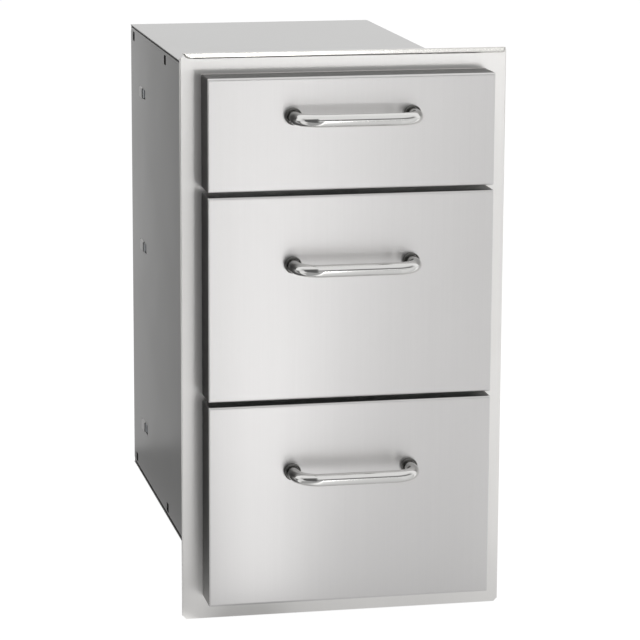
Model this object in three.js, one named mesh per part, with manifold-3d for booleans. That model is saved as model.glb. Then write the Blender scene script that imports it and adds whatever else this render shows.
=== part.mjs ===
// Built-in outdoor kitchen drawer unit: a face frame with a sheet-metal box behind it, and three drawers on
// telescopic ball-bearing slides. Millimetres, +Z up, the drawers open towards -Y.
// Zero in Y is the rear of the face frame, which bears on the island's wall.

import * as THREE from 'three';
import { mergeVertices } from 'three/addons/utils/BufferGeometryUtils.js';
import Module from 'manifold-3d';

const wasm = await Module();
wasm.setup();

// Driving dimensions

// One sheet lies on another, or one part seats on another, with this gap.
const seat = 0.3;
// A cutter runs past the material by this much.
const overrun = 5;

// The face frame: one sheet, folded back at the sides and the foot, folded forward at the top. Its stiles
// cover the edge of the wall that the slides are fixed to.
const frame = {
  width: 368,
  height: 642,
  sheet: 1.5,
  hem: 12,
  topHem: 6.3,
  cornerClip: 2,
  stileCover: 1.5,
};

// The box behind the frame. The overlaps are how far the frame reaches past it.
const box = {
  sideOverlap: 30,
  topOverlap: 30,
  bottomOverlap: 37,
  depth: 571,
  sheet: 1.2,
  bend: 1.5,
  flange: 12,
};

// Locating slots along the top and bottom edges of the side panels, spread evenly between the insets.
const slot = {
  length: 15,
  height: 11.5,
  edge: 2.5,
  frontInset: 38,
  rearInset: 26,
  count: 3,
};

// A lanced bridge holds the rear hook of each slide: a raised strap between a slit and a window. The inset
// is counted forward from the slide's rear end.
const bridge = {
  rearInset: 40,
  window: 18,
  strap: 9,
  slit: 7,
  height: 12,
};

// The drawer fronts: folded pans that stand proud of the frame.
const front = {
  sideMargin: 23.75,
  topMargin: 23,
  bottomMargin: 26,
  gap: 5,
  shallowHeight: 125,
  depth: 42,
  closingGap: 1,
  sheet: 1.2,
  bend: 1.8,
  rim: 1.2,
  lip: 12,
  cover: 13,
};

// The trays behind the fronts.
const tray = {
  sheet: 1.2,
  bend: 1.2,
  rearClearance: 42,
  hem: 8,
  belowClearance: 5,
  aboveClearance: 16,
  backFlange: 12,
};

// The telescopic slides. Sizes across are counted from the box's wall towards the drawer. The lips of the
// cabinet member and the intermediate member stop short of the slide's full thickness by their steps.
const slide = {
  frontInset: 2,
  rearClearance: 63.6,
  height: 45,
  thickness: 12.7,
  sheet: 1.2,
  bend: 0.6,
  cabinetStep: 3.9,
  intermediateStep: 1.7,
  cageSheet: 0.6,
  cageLength: 180,
  webGap: 0.4,
  lipGap: 0.2,
  ballGap: 0.3,
  ballSideGap: 0.7,
  ballPitch: 44,
  ballsPerRow: 4,
  screwSlot: 9,
  screwWidth: 4.4,
  riseShallow: 42,
  riseDeep: 81.5,
};

// The bow handles.
const handle = {
  spacing: 133,
  diameter: 14,
  reach: 44,
  bend: 25,
  dropShallow: 42.5,
  dropDeep: 76.5,
  collarWall: 2.1,
  collarLength: 5.5,
  collarRound: 1.6,
};

// The divider rails behind the frame's cross bars.
const rail = {
  depth: 18,
  height: 24,
};

// Facets of the round forms. A drawn arc takes two facets for each step.
const bendSteps = 2;
const slideBendSteps = 2;
const cageBendSteps = 1;
const arcSteps = 2;
const rimSteps = 2;
const edgeSides = 10;
const barSides = 12;
const barSteps = 30;
const collarSides = 14;
const roundSteps = 3;
const ballSides = 6;
const ballRings = 3;

// Sizes that follow from them

const frameFront = -2 * frame.sheet;
const boxHalf = frame.width / 2 - box.sideOverlap;
const boxBottom = box.bottomOverlap;
const boxTop = frame.height - box.topOverlap;
const sideBottom = boxBottom + box.sheet + seat;
const sideTop = boxTop - box.sheet - seat;
const wallInside = boxHalf - box.sheet;
const boxRear = box.depth;
const sideRear = boxRear - box.sheet - box.bend;
const backRear = sideRear - box.sheet - seat;
const backFront = backRear - box.sheet;

const frontHalf = frame.width / 2 - front.sideMargin;
const frontRear = frameFront - front.closingGap;
const frontFace = frontRear - front.depth;
const frontsHeight = frame.height - front.topMargin - front.bottomMargin;
const deepHeight = (frontsHeight - front.shallowHeight - 2 * front.gap) / 2;

const slideWall = wallInside - seat;
const slideFront = slide.frontInset;
const slideRear = backFront - slide.rearClearance;
const trayHalf = slideWall - slide.thickness - seat;
const trayFront = frontRear - front.sheet;
const trayRear = backFront - tray.rearClearance;

// The three drawers, from the foot up: where each front starts, its height, its slide and its handle.
const drawers = [
  { key: 'bottom', height: deepHeight, rise: slide.riseDeep, drop: handle.dropDeep },
  { key: 'middle', height: deepHeight, rise: slide.riseDeep, drop: handle.dropDeep },
  { key: 'top', height: front.shallowHeight, rise: slide.riseShallow, drop: handle.dropShallow },
];
let foot = front.bottomMargin;
for (const drawer of drawers) {
  drawer.low = foot;
  drawer.high = foot + drawer.height;
  drawer.openLow = drawer.low + front.cover;
  drawer.openHigh = drawer.high - front.cover;
  drawer.trayLow = drawer.openLow + tray.belowClearance;
  drawer.trayHigh = drawer.openHigh - tray.aboveClearance;
  drawer.slideHeight = drawer.low + drawer.rise;
  drawer.handleHeight = drawer.high - drawer.drop;
  foot = drawer.high + front.gap;
}

// Materials

function steel(color, roughness) {
  return new THREE.MeshStandardMaterial({ color, roughness, metalness: 1 });
}
const brushedSteel = steel(0xd2d1ce, 0.34);
const boxSteel = steel(0xb4b4b2, 0.42);
const polishedSteel = steel(0xe6e5e2, 0.1);
const zincSteel = steel(0xb9bec2, 0.38);
const cageSteel = steel(0x9a9c9c, 0.45);

// Solids and how they are joined and cut

const alongX = new THREE.Matrix4().makeBasis(
  new THREE.Vector3(0, 1, 0),
  new THREE.Vector3(0, 0, 1),
  new THREE.Vector3(1, 0, 0),
);
const alongY = new THREE.Matrix4().makeRotationX(Math.PI / 2);

function toSolid(geometry) {
  const bare = geometry.clone();
  bare.deleteAttribute('normal');
  bare.deleteAttribute('uv');
  const merged = mergeVertices(bare);
  const mesh = new wasm.Mesh({
    numProp: 3,
    vertProperties: new Float32Array(merged.attributes.position.array),
    triVerts: new Uint32Array(merged.index.array),
  });
  return new wasm.Manifold(mesh);
}

function toGeometry(solid) {
  const mesh = solid.getMesh();
  const geometry = new THREE.BufferGeometry();
  geometry.setAttribute('position', new THREE.BufferAttribute(mesh.vertProperties, mesh.numProp));
  geometry.setIndex(new THREE.BufferAttribute(mesh.triVerts, 1));
  geometry.computeVertexNormals();
  return geometry;
}

function joined(solids) {
  return solids.reduce((whole, solid) => whole.add(solid));
}

function cut(solid, cutters) {
  return cutters.reduce((rest, cutter) => rest.subtract(cutter), solid);
}

// A block between two values on each axis, given in either order.
function block(x, y, z) {
  const size = [x, y, z].map(([from, to]) => Math.abs(to - from));
  const middle = [x, y, z].map(([from, to]) => (from + to) / 2);
  return toSolid(new THREE.BoxGeometry(...size).translate(...middle));
}

function shapeOf(points) {
  return new THREE.Shape(points.map(([a, b]) => new THREE.Vector2(a, b)));
}

// An outline in Y and Z, extruded along X.
function extrudeX(points, from, to) {
  const geometry = new THREE.ExtrudeGeometry(shapeOf(points), { depth: to - from, bevelEnabled: false });
  return toSolid(geometry.applyMatrix4(alongX).translate(from, 0, 0));
}

// The same to both sides of the middle, with a rounded rim inside the outline at each end.
function extrudeRimmedX(points, half, rim) {
  const geometry = new THREE.ExtrudeGeometry(shapeOf(points), {
    depth: 2 * (half - rim),
    bevelThickness: rim,
    bevelSize: rim,
    bevelOffset: -rim,
    bevelSegments: rimSteps,
  });
  return toSolid(geometry.applyMatrix4(alongX).translate(rim - half, 0, 0));
}

// An outline in X and Z, extruded along Y.
function extrudeY(points, from, to) {
  const geometry = new THREE.ExtrudeGeometry(shapeOf(points), { depth: to - from, bevelEnabled: false });
  return toSolid(geometry.applyMatrix4(alongY).translate(0, to, 0));
}

// An outline in X and Y, extruded along Z.
function extrudeZ(points, from, to) {
  const geometry = new THREE.ExtrudeGeometry(shapeOf(points), { depth: to - from, bevelEnabled: false });
  return toSolid(geometry.translate(0, 0, from));
}

// The rounded middle line of a folded sheet: each point with the normal to its left.
function roundedLine(corners, radius, steps) {
  const points = corners.map(([a, b]) => new THREE.Vector2(a, b));
  const heading = (i) => points[i + 1].clone().sub(points[i]).normalize();
  const leftOf = (d) => new THREE.Vector2(-d.y, d.x);
  const line = [{ point: points[0], normal: leftOf(heading(0)) }];
  for (let i = 1; i < points.length - 1; i += 1) {
    const before = heading(i - 1);
    const after = heading(i);
    const turn = Math.atan2(before.cross(after), before.dot(after));
    const room = Math.min(points[i].distanceTo(points[i - 1]), points[i].distanceTo(points[i + 1])) / 2;
    const bend = Math.min(radius, room / Math.tan(Math.abs(turn) / 2));
    const start = points[i].clone().addScaledVector(before, -bend * Math.tan(Math.abs(turn) / 2));
    const side = Math.sign(turn);
    const centre = start.clone().addScaledVector(leftOf(before), side * bend);
    for (let step = 0; step <= steps; step += 1) {
      const normal = leftOf(before).rotateAround(new THREE.Vector2(), (turn * step) / steps);
      line.push({ point: centre.clone().addScaledVector(normal, -side * bend), normal });
    }
  }
  const last = points.length - 1;
  line.push({ point: points[last], normal: leftOf(heading(last - 1)) });
  return line;
}

// The outline of a folded sheet, from the corners of its middle line and the radius inside its bends.
function folded(corners, sheet, bend, steps = bendSteps) {
  const line = roundedLine(corners, bend + sheet / 2, steps);
  const edge = (side) => line.map(({ point, normal }) => {
    const moved = point.clone().addScaledVector(normal, (side * sheet) / 2);
    return [moved.x, moved.y];
  });
  return [...edge(1), ...edge(-1).reverse()];
}

// A rectangle in two coordinates with its corners rounded, for plates seen end on.
function roundedRectangle(a, b, radius) {
  const shape = new THREE.Shape();
  shape.absarc(a[1] - radius, b[1] - radius, radius, 0, Math.PI / 2);
  shape.absarc(a[0] + radius, b[1] - radius, radius, Math.PI / 2, Math.PI);
  shape.absarc(a[0] + radius, b[0] + radius, radius, Math.PI, 1.5 * Math.PI);
  shape.absarc(a[1] - radius, b[0] + radius, radius, 1.5 * Math.PI, 2 * Math.PI);
  return shape.getPoints(arcSteps).map((point) => [point.x, point.y]);
}

// Face frame

function roundEdge(from, to) {
  const length = from.distanceTo(to);
  const rod = new THREE.CylinderGeometry(frame.sheet, frame.sheet, length, edgeSides);
  const turn = new THREE.Quaternion().setFromUnitVectors(
    new THREE.Vector3(0, 1, 0),
    to.clone().sub(from).normalize(),
  );
  const middle = from.clone().lerp(to, 0.5);
  return toSolid(rod.applyQuaternion(turn).translate(middle.x, middle.y, middle.z));
}

// The flat sheet reaches the middle of the rounded folds at its edges.
function faceFrame() {
  const half = frame.width / 2;
  const flat = half - frame.sheet;
  const fold = -frame.sheet;
  const back = [fold, 0];
  const sheet = block([-flat, flat], [frameFront, fold], [frame.sheet, frame.height - frame.sheet]);
  const corner = (side, z) => new THREE.Vector3(side * flat, fold, z);
  const folds = [-1, 1].flatMap((side) => [
    roundEdge(corner(side, 0), corner(side, frame.height)),
    block([side * flat, side * (half - frame.hem)], back, [frame.sheet, frame.height - frame.sheet]),
  ]);
  const footFold = [
    roundEdge(new THREE.Vector3(-half, fold, frame.sheet), new THREE.Vector3(half, fold, frame.sheet)),
    block([-flat, flat], back, [frame.sheet, frame.hem]),
  ];
  const whole = joined([sheet, ...folds, ...footFold, topHem()]);
  const openingHalf = slideWall - frame.stileCover;
  const openings = drawers.map((drawer) => block(
    [-openingHalf, openingHalf],
    [frameFront - overrun, overrun],
    [drawer.openLow, drawer.openHigh],
  ));
  return cut(whole, [...openings, ...cornerClips(half)]);
}

// The top edge is folded forward, with the ends of the fold cut at forty-five degrees.
function topHem() {
  const half = frame.width / 2;
  const low = frame.height - frame.topHem;
  const fold = [
    [-half, frame.height],
    [half, frame.height],
    [half - frame.topHem, low],
    [-half + frame.topHem, low],
  ];
  const across = [frameFront - frame.sheet, -frame.sheet];
  const section = roundedRectangle(across, [low, frame.height], frame.sheet / 2);
  const bar = extrudeX(section, -half, half);
  const backing = block([-half, half], [frameFront, -frame.sheet], [low, frame.height - frame.sheet]);
  const mitred = extrudeY(fold, frameFront - overrun, frameFront);
  const behind = block([-half, half], [frameFront, overrun], [low, frame.height]);
  return joined([bar.intersect(joined([mitred, behind])), backing]);
}

// The two lower corners are clipped so that no sharp point is left.
function cornerClips(half) {
  return [-1, 1].map((side) => {
    const x = side * half;
    const reach = side * (frame.cornerClip + overrun);
    const clip = [
      [x - side * frame.cornerClip, 0],
      [x - side * frame.cornerClip + reach, frame.cornerClip + overrun],
      [x + reach, 0],
      [x + reach, -overrun],
      [x - side * frame.cornerClip, -overrun],
    ];
    return extrudeY(clip, frameFront - overrun, overrun);
  });
}

// Box panels

// A side panel: its top and bottom edges turn in under the top and bottom panels, its front edge turns out
// behind the frame, and its rear edge turns in behind the back panel.
function sidePanel(side) {
  const wall = side * (boxHalf - box.sheet / 2);
  const turnedIn = wall - side * box.flange;
  const inside = side * wallInside;
  const section = [
    [turnedIn, sideTop - box.sheet / 2],
    [wall, sideTop - box.sheet / 2],
    [wall, sideBottom + box.sheet / 2],
    [turnedIn, sideBottom + box.sheet / 2],
  ];
  const straight = [sideBottom + box.bend, sideTop - box.bend];
  const wrap = extrudeY(folded(section, box.sheet, box.bend), 0, sideRear);
  const frontFlange = block([inside, side * (boxHalf + box.flange)], [-box.sheet, 0], straight);
  const neck = block([inside, side * boxHalf], [-box.sheet, box.sheet], straight);
  const rearFlange = block([side * boxHalf, turnedIn], [sideRear - box.sheet, sideRear], straight);
  const panel = cut(joined([wrap, neck, frontFlange, rearFlange]), [...edgeSlots(side), ...lances(side)]);
  return joined([panel, ...straps(side)]);
}

function edgeSlots(side) {
  const through = [side * (wallInside - seat), side * (boxHalf + overrun)];
  const pitch = (sideRear - slot.rearInset - slot.frontInset) / (slot.count - 1);
  const cutters = [];
  for (let i = 0; i < slot.count; i += 1) {
    const middle = slot.frontInset + i * pitch;
    const along = [middle - slot.length / 2, middle + slot.length / 2];
    cutters.push(block(through, along, [sideTop - slot.edge - slot.height, sideTop - slot.edge]));
    cutters.push(block(through, along, [sideBottom + slot.edge, sideBottom + slot.edge + slot.height]));
  }
  return cutters;
}

// Y values of a bridge: the window at the front, the strap, and the slit at the rear.
function bridgeStations() {
  const windowStart = slideRear - bridge.rearInset;
  const strapStart = windowStart + bridge.window;
  const slitStart = strapStart + bridge.strap;
  return { windowStart, strapStart, slitStart, end: slitStart + bridge.slit };
}

function lances(side) {
  const { windowStart, end } = bridgeStations();
  const through = [side * (wallInside - overrun), side * (boxHalf + overrun)];
  return drawers.map(({ slideHeight }) => block(
    through,
    [windowStart, end],
    [slideHeight - bridge.height / 2, slideHeight + bridge.height / 2],
  ));
}

// The raised strap stands clear of the hook that passes behind it.
const hookInside = wallInside + seat;
const strapInside = hookInside + slide.sheet + seat;
function straps(side) {
  const { strapStart, slitStart } = bridgeStations();
  const foot = bridge.height / 2 + box.sheet;
  return drawers.map(({ slideHeight }) => joined([
    block(
      [side * strapInside, side * (strapInside + box.sheet)],
      [strapStart, slitStart],
      [slideHeight - foot, slideHeight + foot],
    ),
    ...[-1, 1].map((end) => block(
      [side * (wallInside + box.sheet / 2), side * (strapInside + box.sheet)],
      [strapStart, slitStart],
      [slideHeight + end * (bridge.height / 2), slideHeight + end * foot],
    )),
  ]));
}

// The top or bottom panel: its front edge turns away from the box behind the frame, its rear edge turns
// over the back. Up is +1 for the top panel and -1 for the bottom one.
function capPanel(level, up) {
  const middle = level - (up * box.sheet) / 2;
  const section = [
    [-box.sheet / 2, level + up * box.flange],
    [-box.sheet / 2, middle],
    [boxRear - box.sheet / 2, middle],
    [boxRear - box.sheet / 2, middle - up * box.flange],
  ];
  const sheet = extrudeX(folded(section, box.sheet, box.bend), -boxHalf, boxHalf);
  const cornerRelief = [-1, 1].map((side) => block(
    [side * (wallInside - seat), side * (boxHalf + overrun)],
    [-overrun, box.bend + box.sheet],
    [boxBottom - box.flange - overrun, boxTop + box.flange + overrun],
  ));
  return cut(sheet, cornerRelief);
}

function backPanel() {
  const half = wallInside - seat;
  const low = sideBottom + box.sheet + box.bend;
  const high = sideTop - box.sheet - box.bend;
  return block([-half, half], [backFront, backRear], [low, high]);
}

// A channel behind a cross bar of the frame, open to the rear.
function dividerRail(level) {
  const web = -box.sheet / 2;
  const reach = (rail.height - box.sheet) / 2;
  const section = [
    [rail.depth, level - reach],
    [web, level - reach],
    [web, level + reach],
    [rail.depth, level + reach],
  ];
  const half = wallInside - seat;
  return extrudeX(folded(section, box.sheet, box.bend), -half, half);
}

// Drawer fronts

// The skin is one hollow pan: the face, rounded returns above and below with a lip at the rear, and a wall
// at each end.
function frontSkin({ low, high }) {
  const inner = frontHalf - front.sheet;
  const radius = front.bend + front.sheet;
  const outline = roundedRectangle([frontFace, frontRear], [low, high], radius);
  const depth = [frontFace + front.sheet, frontRear - front.sheet];
  const hollow = roundedRectangle(depth, [low + front.sheet, high - front.sheet], front.bend);
  const behind = [frontRear - radius, frontRear + overrun];
  return cut(extrudeRimmedX(outline, frontHalf, front.rim), [
    extrudeX(hollow, -inner, inner),
    block([-inner, inner], behind, [low + front.lip, high - front.lip]),
  ]);
}

// The liner closes the hollow front from inside the lips, with flanges that stiffen it.
function frontLiner({ low, high }) {
  const clear = front.sheet + seat;
  const plane = frontRear - front.sheet - seat - front.sheet / 2;
  const section = [
    [plane - front.lip, low + clear + front.sheet / 2],
    [plane, low + clear + front.sheet / 2],
    [plane, high - clear - front.sheet / 2],
    [plane - front.lip, high - clear - front.sheet / 2],
  ];
  const half = frontHalf - front.sheet - seat;
  return extrudeX(folded(section, front.sheet, front.bend), -half, half);
}

// Trays

// The floor, the sides with their folded rims and the front wall are one sheet.
function trayWrap({ trayLow, trayHigh }) {
  const wall = trayHalf - tray.sheet / 2;
  const rim = wall - tray.sheet - seat;
  const crest = trayHigh - tray.sheet / 2;
  const floor = trayLow + tray.sheet / 2;
  const section = [
    [-rim, trayHigh - tray.hem],
    [-rim, crest],
    [-wall, crest],
    [-wall, floor],
    [wall, floor],
    [wall, crest],
    [rim, crest],
    [rim, trayHigh - tray.hem],
  ];
  const wrap = extrudeY(folded(section, tray.sheet, tray.bend), trayFront, trayRear);
  const frontWall = block([-wall, wall], [trayFront, trayFront + tray.sheet], [floor, crest]);
  return joined([wrap, frontWall]);
}

// The back wall stands on the floor between the sides, below their rims, on two flanges.
function trayBack({ trayLow, trayHigh }) {
  const wall = trayHalf - tray.sheet - seat - tray.sheet / 2;
  const rear = trayRear - tray.sheet / 2;
  const section = [
    [-wall, rear - tray.backFlange],
    [-wall, rear],
    [wall, rear],
    [wall, rear - tray.backFlange],
  ];
  const low = trayLow + tray.sheet + tray.bend;
  const high = trayHigh - tray.hem - seat;
  return extrudeZ(folded(section, tray.sheet, tray.bend), low, high);
}

// Slides

// Across the slide, each web lies behind the one before it with a cage between them.
const webStep = slide.sheet + slide.cageSheet + 2 * slide.webGap;
const webs = {
  cabinet: 0,
  outerCage: slide.sheet + slide.webGap,
  intermediate: webStep,
  innerCage: webStep + slide.sheet + slide.webGap,
  drawer: slide.thickness - slide.sheet,
};
const reaches = {
  cabinet: slide.thickness - slide.cabinetStep,
  intermediate: slide.thickness - slide.intermediateStep,
};
const drawerFlangeStart = 2 * webStep;
const ballsAcross = {
  outer: (webStep + reaches.cabinet - slide.sheet) / 2,
  inner: (drawerFlangeStart + reaches.intermediate) / 2,
};
// Up the slide, a row of balls runs between each flange and the one inside it.
const ballSize = reaches.cabinet - slide.sheet - webStep - 2 * slide.ballSideGap;
const ballRoom = ballSize + 2 * slide.ballGap;
const lip = slide.sheet + (ballRoom - slide.cageSheet) / 2 - slide.lipGap;
const flangeTops = {
  cabinet: slide.height / 2,
  intermediate: slide.height / 2 - slide.sheet - ballRoom,
  drawer: slide.height / 2 - 2 * (slide.sheet + ballRoom),
};
const ballHeights = {
  outer: flangeTops.intermediate + ballRoom / 2,
  inner: flangeTops.drawer + ballRoom / 2,
};

// A point given across and up the slide, placed on the left or right wall of the box.
function onSlide(side, height) {
  return ([across, up]) => [side * (slideWall - across), height + up];
}

// A C section that opens towards the drawer, with lips that keep the balls in.
function openMember(side, height, web, reach, top) {
  const middle = web + slide.sheet / 2;
  const lipLine = reach - slide.sheet / 2;
  const flange = top - slide.sheet / 2;
  const section = [
    [lipLine, top - lip],
    [lipLine, flange],
    [middle, flange],
    [middle, -flange],
    [lipLine, -flange],
    [lipLine, lip - top],
  ];
  const outline = folded(section.map(onSlide(side, height)), slide.sheet, slide.bend, slideBendSteps);
  return extrudeY(outline, slideFront, slideRear);
}

// Slots for the fixing screws, at shares of the member's length.
const screwShares = [0.08, 0.47, 0.9];
function screwSlots(side, height, across) {
  return screwShares.map((share) => {
    const middle = slideFront + share * (slideRear - slideFront);
    const x = [side * (slideWall - across + overrun / 2), side * (slideWall - across - overrun / 2)];
    return block(
      x,
      [middle - slide.screwSlot / 2, middle + slide.screwSlot / 2],
      [height - slide.screwWidth / 2, height + slide.screwWidth / 2],
    );
  });
}

// The cabinet member, with the hook that passes through the window and behind the strap.
function cabinetMember(side, { slideHeight }) {
  const { windowStart, slitStart } = bridgeStations();
  const member = openMember(side, slideHeight, webs.cabinet, reaches.cabinet, flangeTops.cabinet);
  const tongue = [slideHeight - bridge.height / 2 + 2 * seat, slideHeight + bridge.height / 2 - 2 * seat];
  const hookStart = windowStart + slide.sheet;
  const hook = joined([
    block(
      [side * (slideWall - slide.sheet), side * (hookInside + slide.sheet)],
      [hookStart, hookStart + 2 * slide.sheet],
      tongue,
    ),
    block([side * hookInside, side * (hookInside + slide.sheet)], [hookStart, slitStart - seat], tongue),
  ]);
  return joined([cut(member, screwSlots(side, slideHeight, slide.sheet / 2)), hook]);
}

function intermediateMember(side, { slideHeight }) {
  return openMember(side, slideHeight, webs.intermediate, reaches.intermediate, flangeTops.intermediate);
}

// The drawer member opens the other way: its web is on the tray and its lips turn out to the balls.
function drawerMember(side, { slideHeight }) {
  const middle = webs.drawer + slide.sheet / 2;
  const flange = flangeTops.drawer - slide.sheet / 2;
  const lipLine = drawerFlangeStart + slide.sheet / 2;
  const lipTop = flangeTops.drawer + ballRoom / 4;
  const section = [
    [lipLine, lipTop],
    [lipLine, flange],
    [middle, flange],
    [middle, -flange],
    [lipLine, -flange],
    [lipLine, -lipTop],
  ];
  const outline = folded(section.map(onSlide(side, slideHeight)), slide.sheet, slide.bend, slideBendSteps);
  const member = extrudeY(outline, slideFront, slideRear);
  return cut(member, screwSlots(side, slideHeight, webs.drawer));
}

// A ball cage: a thin channel halfway along the slide, with a row of balls seated in each flange.
function ballCage(side, { slideHeight }, web, ballAcross, ballHeight) {
  const place = onSlide(side, slideHeight);
  const middle = web + slide.cageSheet / 2;
  const tip = ballAcross + ballSize / 2 + slide.cageSheet;
  const section = [
    [tip, ballHeight],
    [middle, ballHeight],
    [middle, -ballHeight],
    [tip, -ballHeight],
  ];
  const outline = folded(section.map(place), slide.cageSheet, slide.bend, cageBendSteps);
  const halfway = (slideFront + slideRear) / 2;
  const solids = [extrudeY(outline, halfway - slide.cageLength / 2, halfway + slide.cageLength / 2)];
  const firstBall = halfway - ((slide.ballsPerRow - 1) * slide.ballPitch) / 2;
  for (let i = 0; i < slide.ballsPerRow; i += 1) {
    for (const up of [-1, 1]) {
      const [x, z] = place([ballAcross, up * ballHeight]);
      const ball = new THREE.SphereGeometry(ballSize / 2, ballSides, ballRings);
      solids.push(toSolid(ball.translate(x, firstBall + i * slide.ballPitch, z)));
    }
  }
  return joined(solids);
}

// Handles

// A quarter bend of the bow in its level plane.
class QuarterBend extends THREE.Curve {
  constructor(centre, startAngle) {
    super();
    this.centre = centre;
    this.startAngle = startAngle;
  }

  getPoint(share, target = new THREE.Vector3()) {
    const angle = this.startAngle + (share * Math.PI) / 2;
    const arm = new THREE.Vector3(Math.cos(angle), Math.sin(angle), 0);
    return target.copy(this.centre).addScaledVector(arm, handle.bend);
  }
}

// The bow: straight out of the front, round a bend, along, and back the same way.
function handleBar({ handleHeight }) {
  const half = handle.spacing / 2;
  const inner = half - handle.bend;
  const root = frontFace - seat;
  const bar = frontFace - handle.reach;
  const bendStart = bar + handle.bend;
  const at = (x, y) => new THREE.Vector3(x, y, handleHeight);
  const path = new THREE.CurvePath();
  path.add(new THREE.LineCurve3(at(-half, root), at(-half, bendStart)));
  path.add(new QuarterBend(at(-inner, bendStart), Math.PI));
  path.add(new THREE.LineCurve3(at(-inner, bar), at(inner, bar)));
  path.add(new QuarterBend(at(inner, bendStart), 1.5 * Math.PI));
  path.add(new THREE.LineCurve3(at(half, bendStart), at(half, root)));
  const section = new THREE.Shape();
  section.absarc(0, 0, handle.diameter / 2, 0, 2 * Math.PI);
  const outline = new THREE.Shape(section.getPoints(barSides / 2).slice(0, -1));
  return toSolid(new THREE.ExtrudeGeometry(outline, { steps: barSteps, extrudePath: path }));
}

// A collar slides over the bar and covers its joint with the front.
function handleCollar(side, { handleHeight }) {
  const bore = handle.diameter / 2 + seat;
  const outer = bore + handle.collarWall;
  const length = handle.collarLength;
  const profile = [new THREE.Vector2(bore, 0), new THREE.Vector2(outer, 0)];
  for (let step = 0; step <= roundSteps; step += 1) {
    const angle = (step / roundSteps) * (Math.PI / 2);
    profile.push(new THREE.Vector2(
      outer - handle.collarRound * (1 - Math.cos(angle)),
      length - handle.collarRound * (1 - Math.sin(angle)),
    ));
  }
  profile.push(new THREE.Vector2(bore, length), new THREE.Vector2(bore, 0));
  const ring = new THREE.LatheGeometry(profile, collarSides);
  ring.rotateX(Math.PI);
  return toSolid(ring.translate((side * handle.spacing) / 2, frontFace - seat, handleHeight));
}

// The assembly

function mesh(name, solid, material) {
  const part = new THREE.Mesh(toGeometry(solid), material);
  part.name = name;
  return part;
}

function cabinet() {
  const group = new THREE.Group();
  const [bottom, middle, top] = drawers;
  group.add(
    mesh('face_frame', faceFrame(), brushedSteel),
    mesh('left_side_panel', sidePanel(-1), boxSteel),
    mesh('right_side_panel', sidePanel(1), boxSteel),
    mesh('top_panel', capPanel(boxTop, 1), boxSteel),
    mesh('bottom_panel', capPanel(boxBottom, -1), boxSteel),
    mesh('back_panel', backPanel(), boxSteel),
    mesh('lower_divider_rail', dividerRail((bottom.high + middle.low) / 2), boxSteel),
    mesh('upper_divider_rail', dividerRail((middle.high + top.low) / 2), boxSteel),
  );
  return group;
}

function slides(drawer) {
  const group = new THREE.Group();
  for (const [hand, side] of [['left', -1], ['right', 1]]) {
    const name = `${drawer.key}_${hand}`;
    group.add(
      mesh(`${name}_cabinet_member`, cabinetMember(side, drawer), zincSteel),
      mesh(`${name}_intermediate_member`, intermediateMember(side, drawer), zincSteel),
      mesh(`${name}_drawer_member`, drawerMember(side, drawer), zincSteel),
      mesh(
        `${name}_outer_ball_cage`,
        ballCage(side, drawer, webs.outerCage, ballsAcross.outer, ballHeights.outer),
        cageSteel,
      ),
      mesh(
        `${name}_inner_ball_cage`,
        ballCage(side, drawer, webs.innerCage, ballsAcross.inner, ballHeights.inner),
        cageSteel,
      ),
    );
  }
  return group;
}

function drawerUnit(drawer) {
  const group = new THREE.Group();
  group.add(
    mesh(`${drawer.key}_front_skin`, frontSkin(drawer), brushedSteel),
    mesh(`${drawer.key}_front_liner`, frontLiner(drawer), boxSteel),
    mesh(`${drawer.key}_tray`, trayWrap(drawer), boxSteel),
    mesh(`${drawer.key}_tray_back`, trayBack(drawer), boxSteel),
    mesh(`${drawer.key}_handle`, handleBar(drawer), polishedSteel),
    mesh(`${drawer.key}_left_collar`, handleCollar(-1, drawer), polishedSteel),
    mesh(`${drawer.key}_right_collar`, handleCollar(1, drawer), polishedSteel),
  );
  return group;
}

const unit = new THREE.Group();
unit.add(cabinet());
for (const drawer of drawers) {
  unit.add(drawerUnit(drawer), slides(drawer));
}
// Zero in Z is the middle of the folded strip at the foot of the frame.
unit.position.z = -frame.hem / 2;

export default unit;
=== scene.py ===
# %% [markdown]
# # A drawer unit for an outdoor kitchen
# The object is a built-in unit of stainless steel: a face frame that covers the edge of a cut-out in the
# island, a box of thin sheet behind it, and three drawers on ball-bearing slides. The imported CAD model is
# the fixed frame of this scene. Every piece below is built where the CAD has it, with the folds, edges and
# fasteners that a maker would see, and with a finish of its own.

# %% The fixed frame
import math

import bmesh
import bpy
from mathutils import Matrix, Vector
from mathutils.geometry import delaunay_2d_cdt


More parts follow.
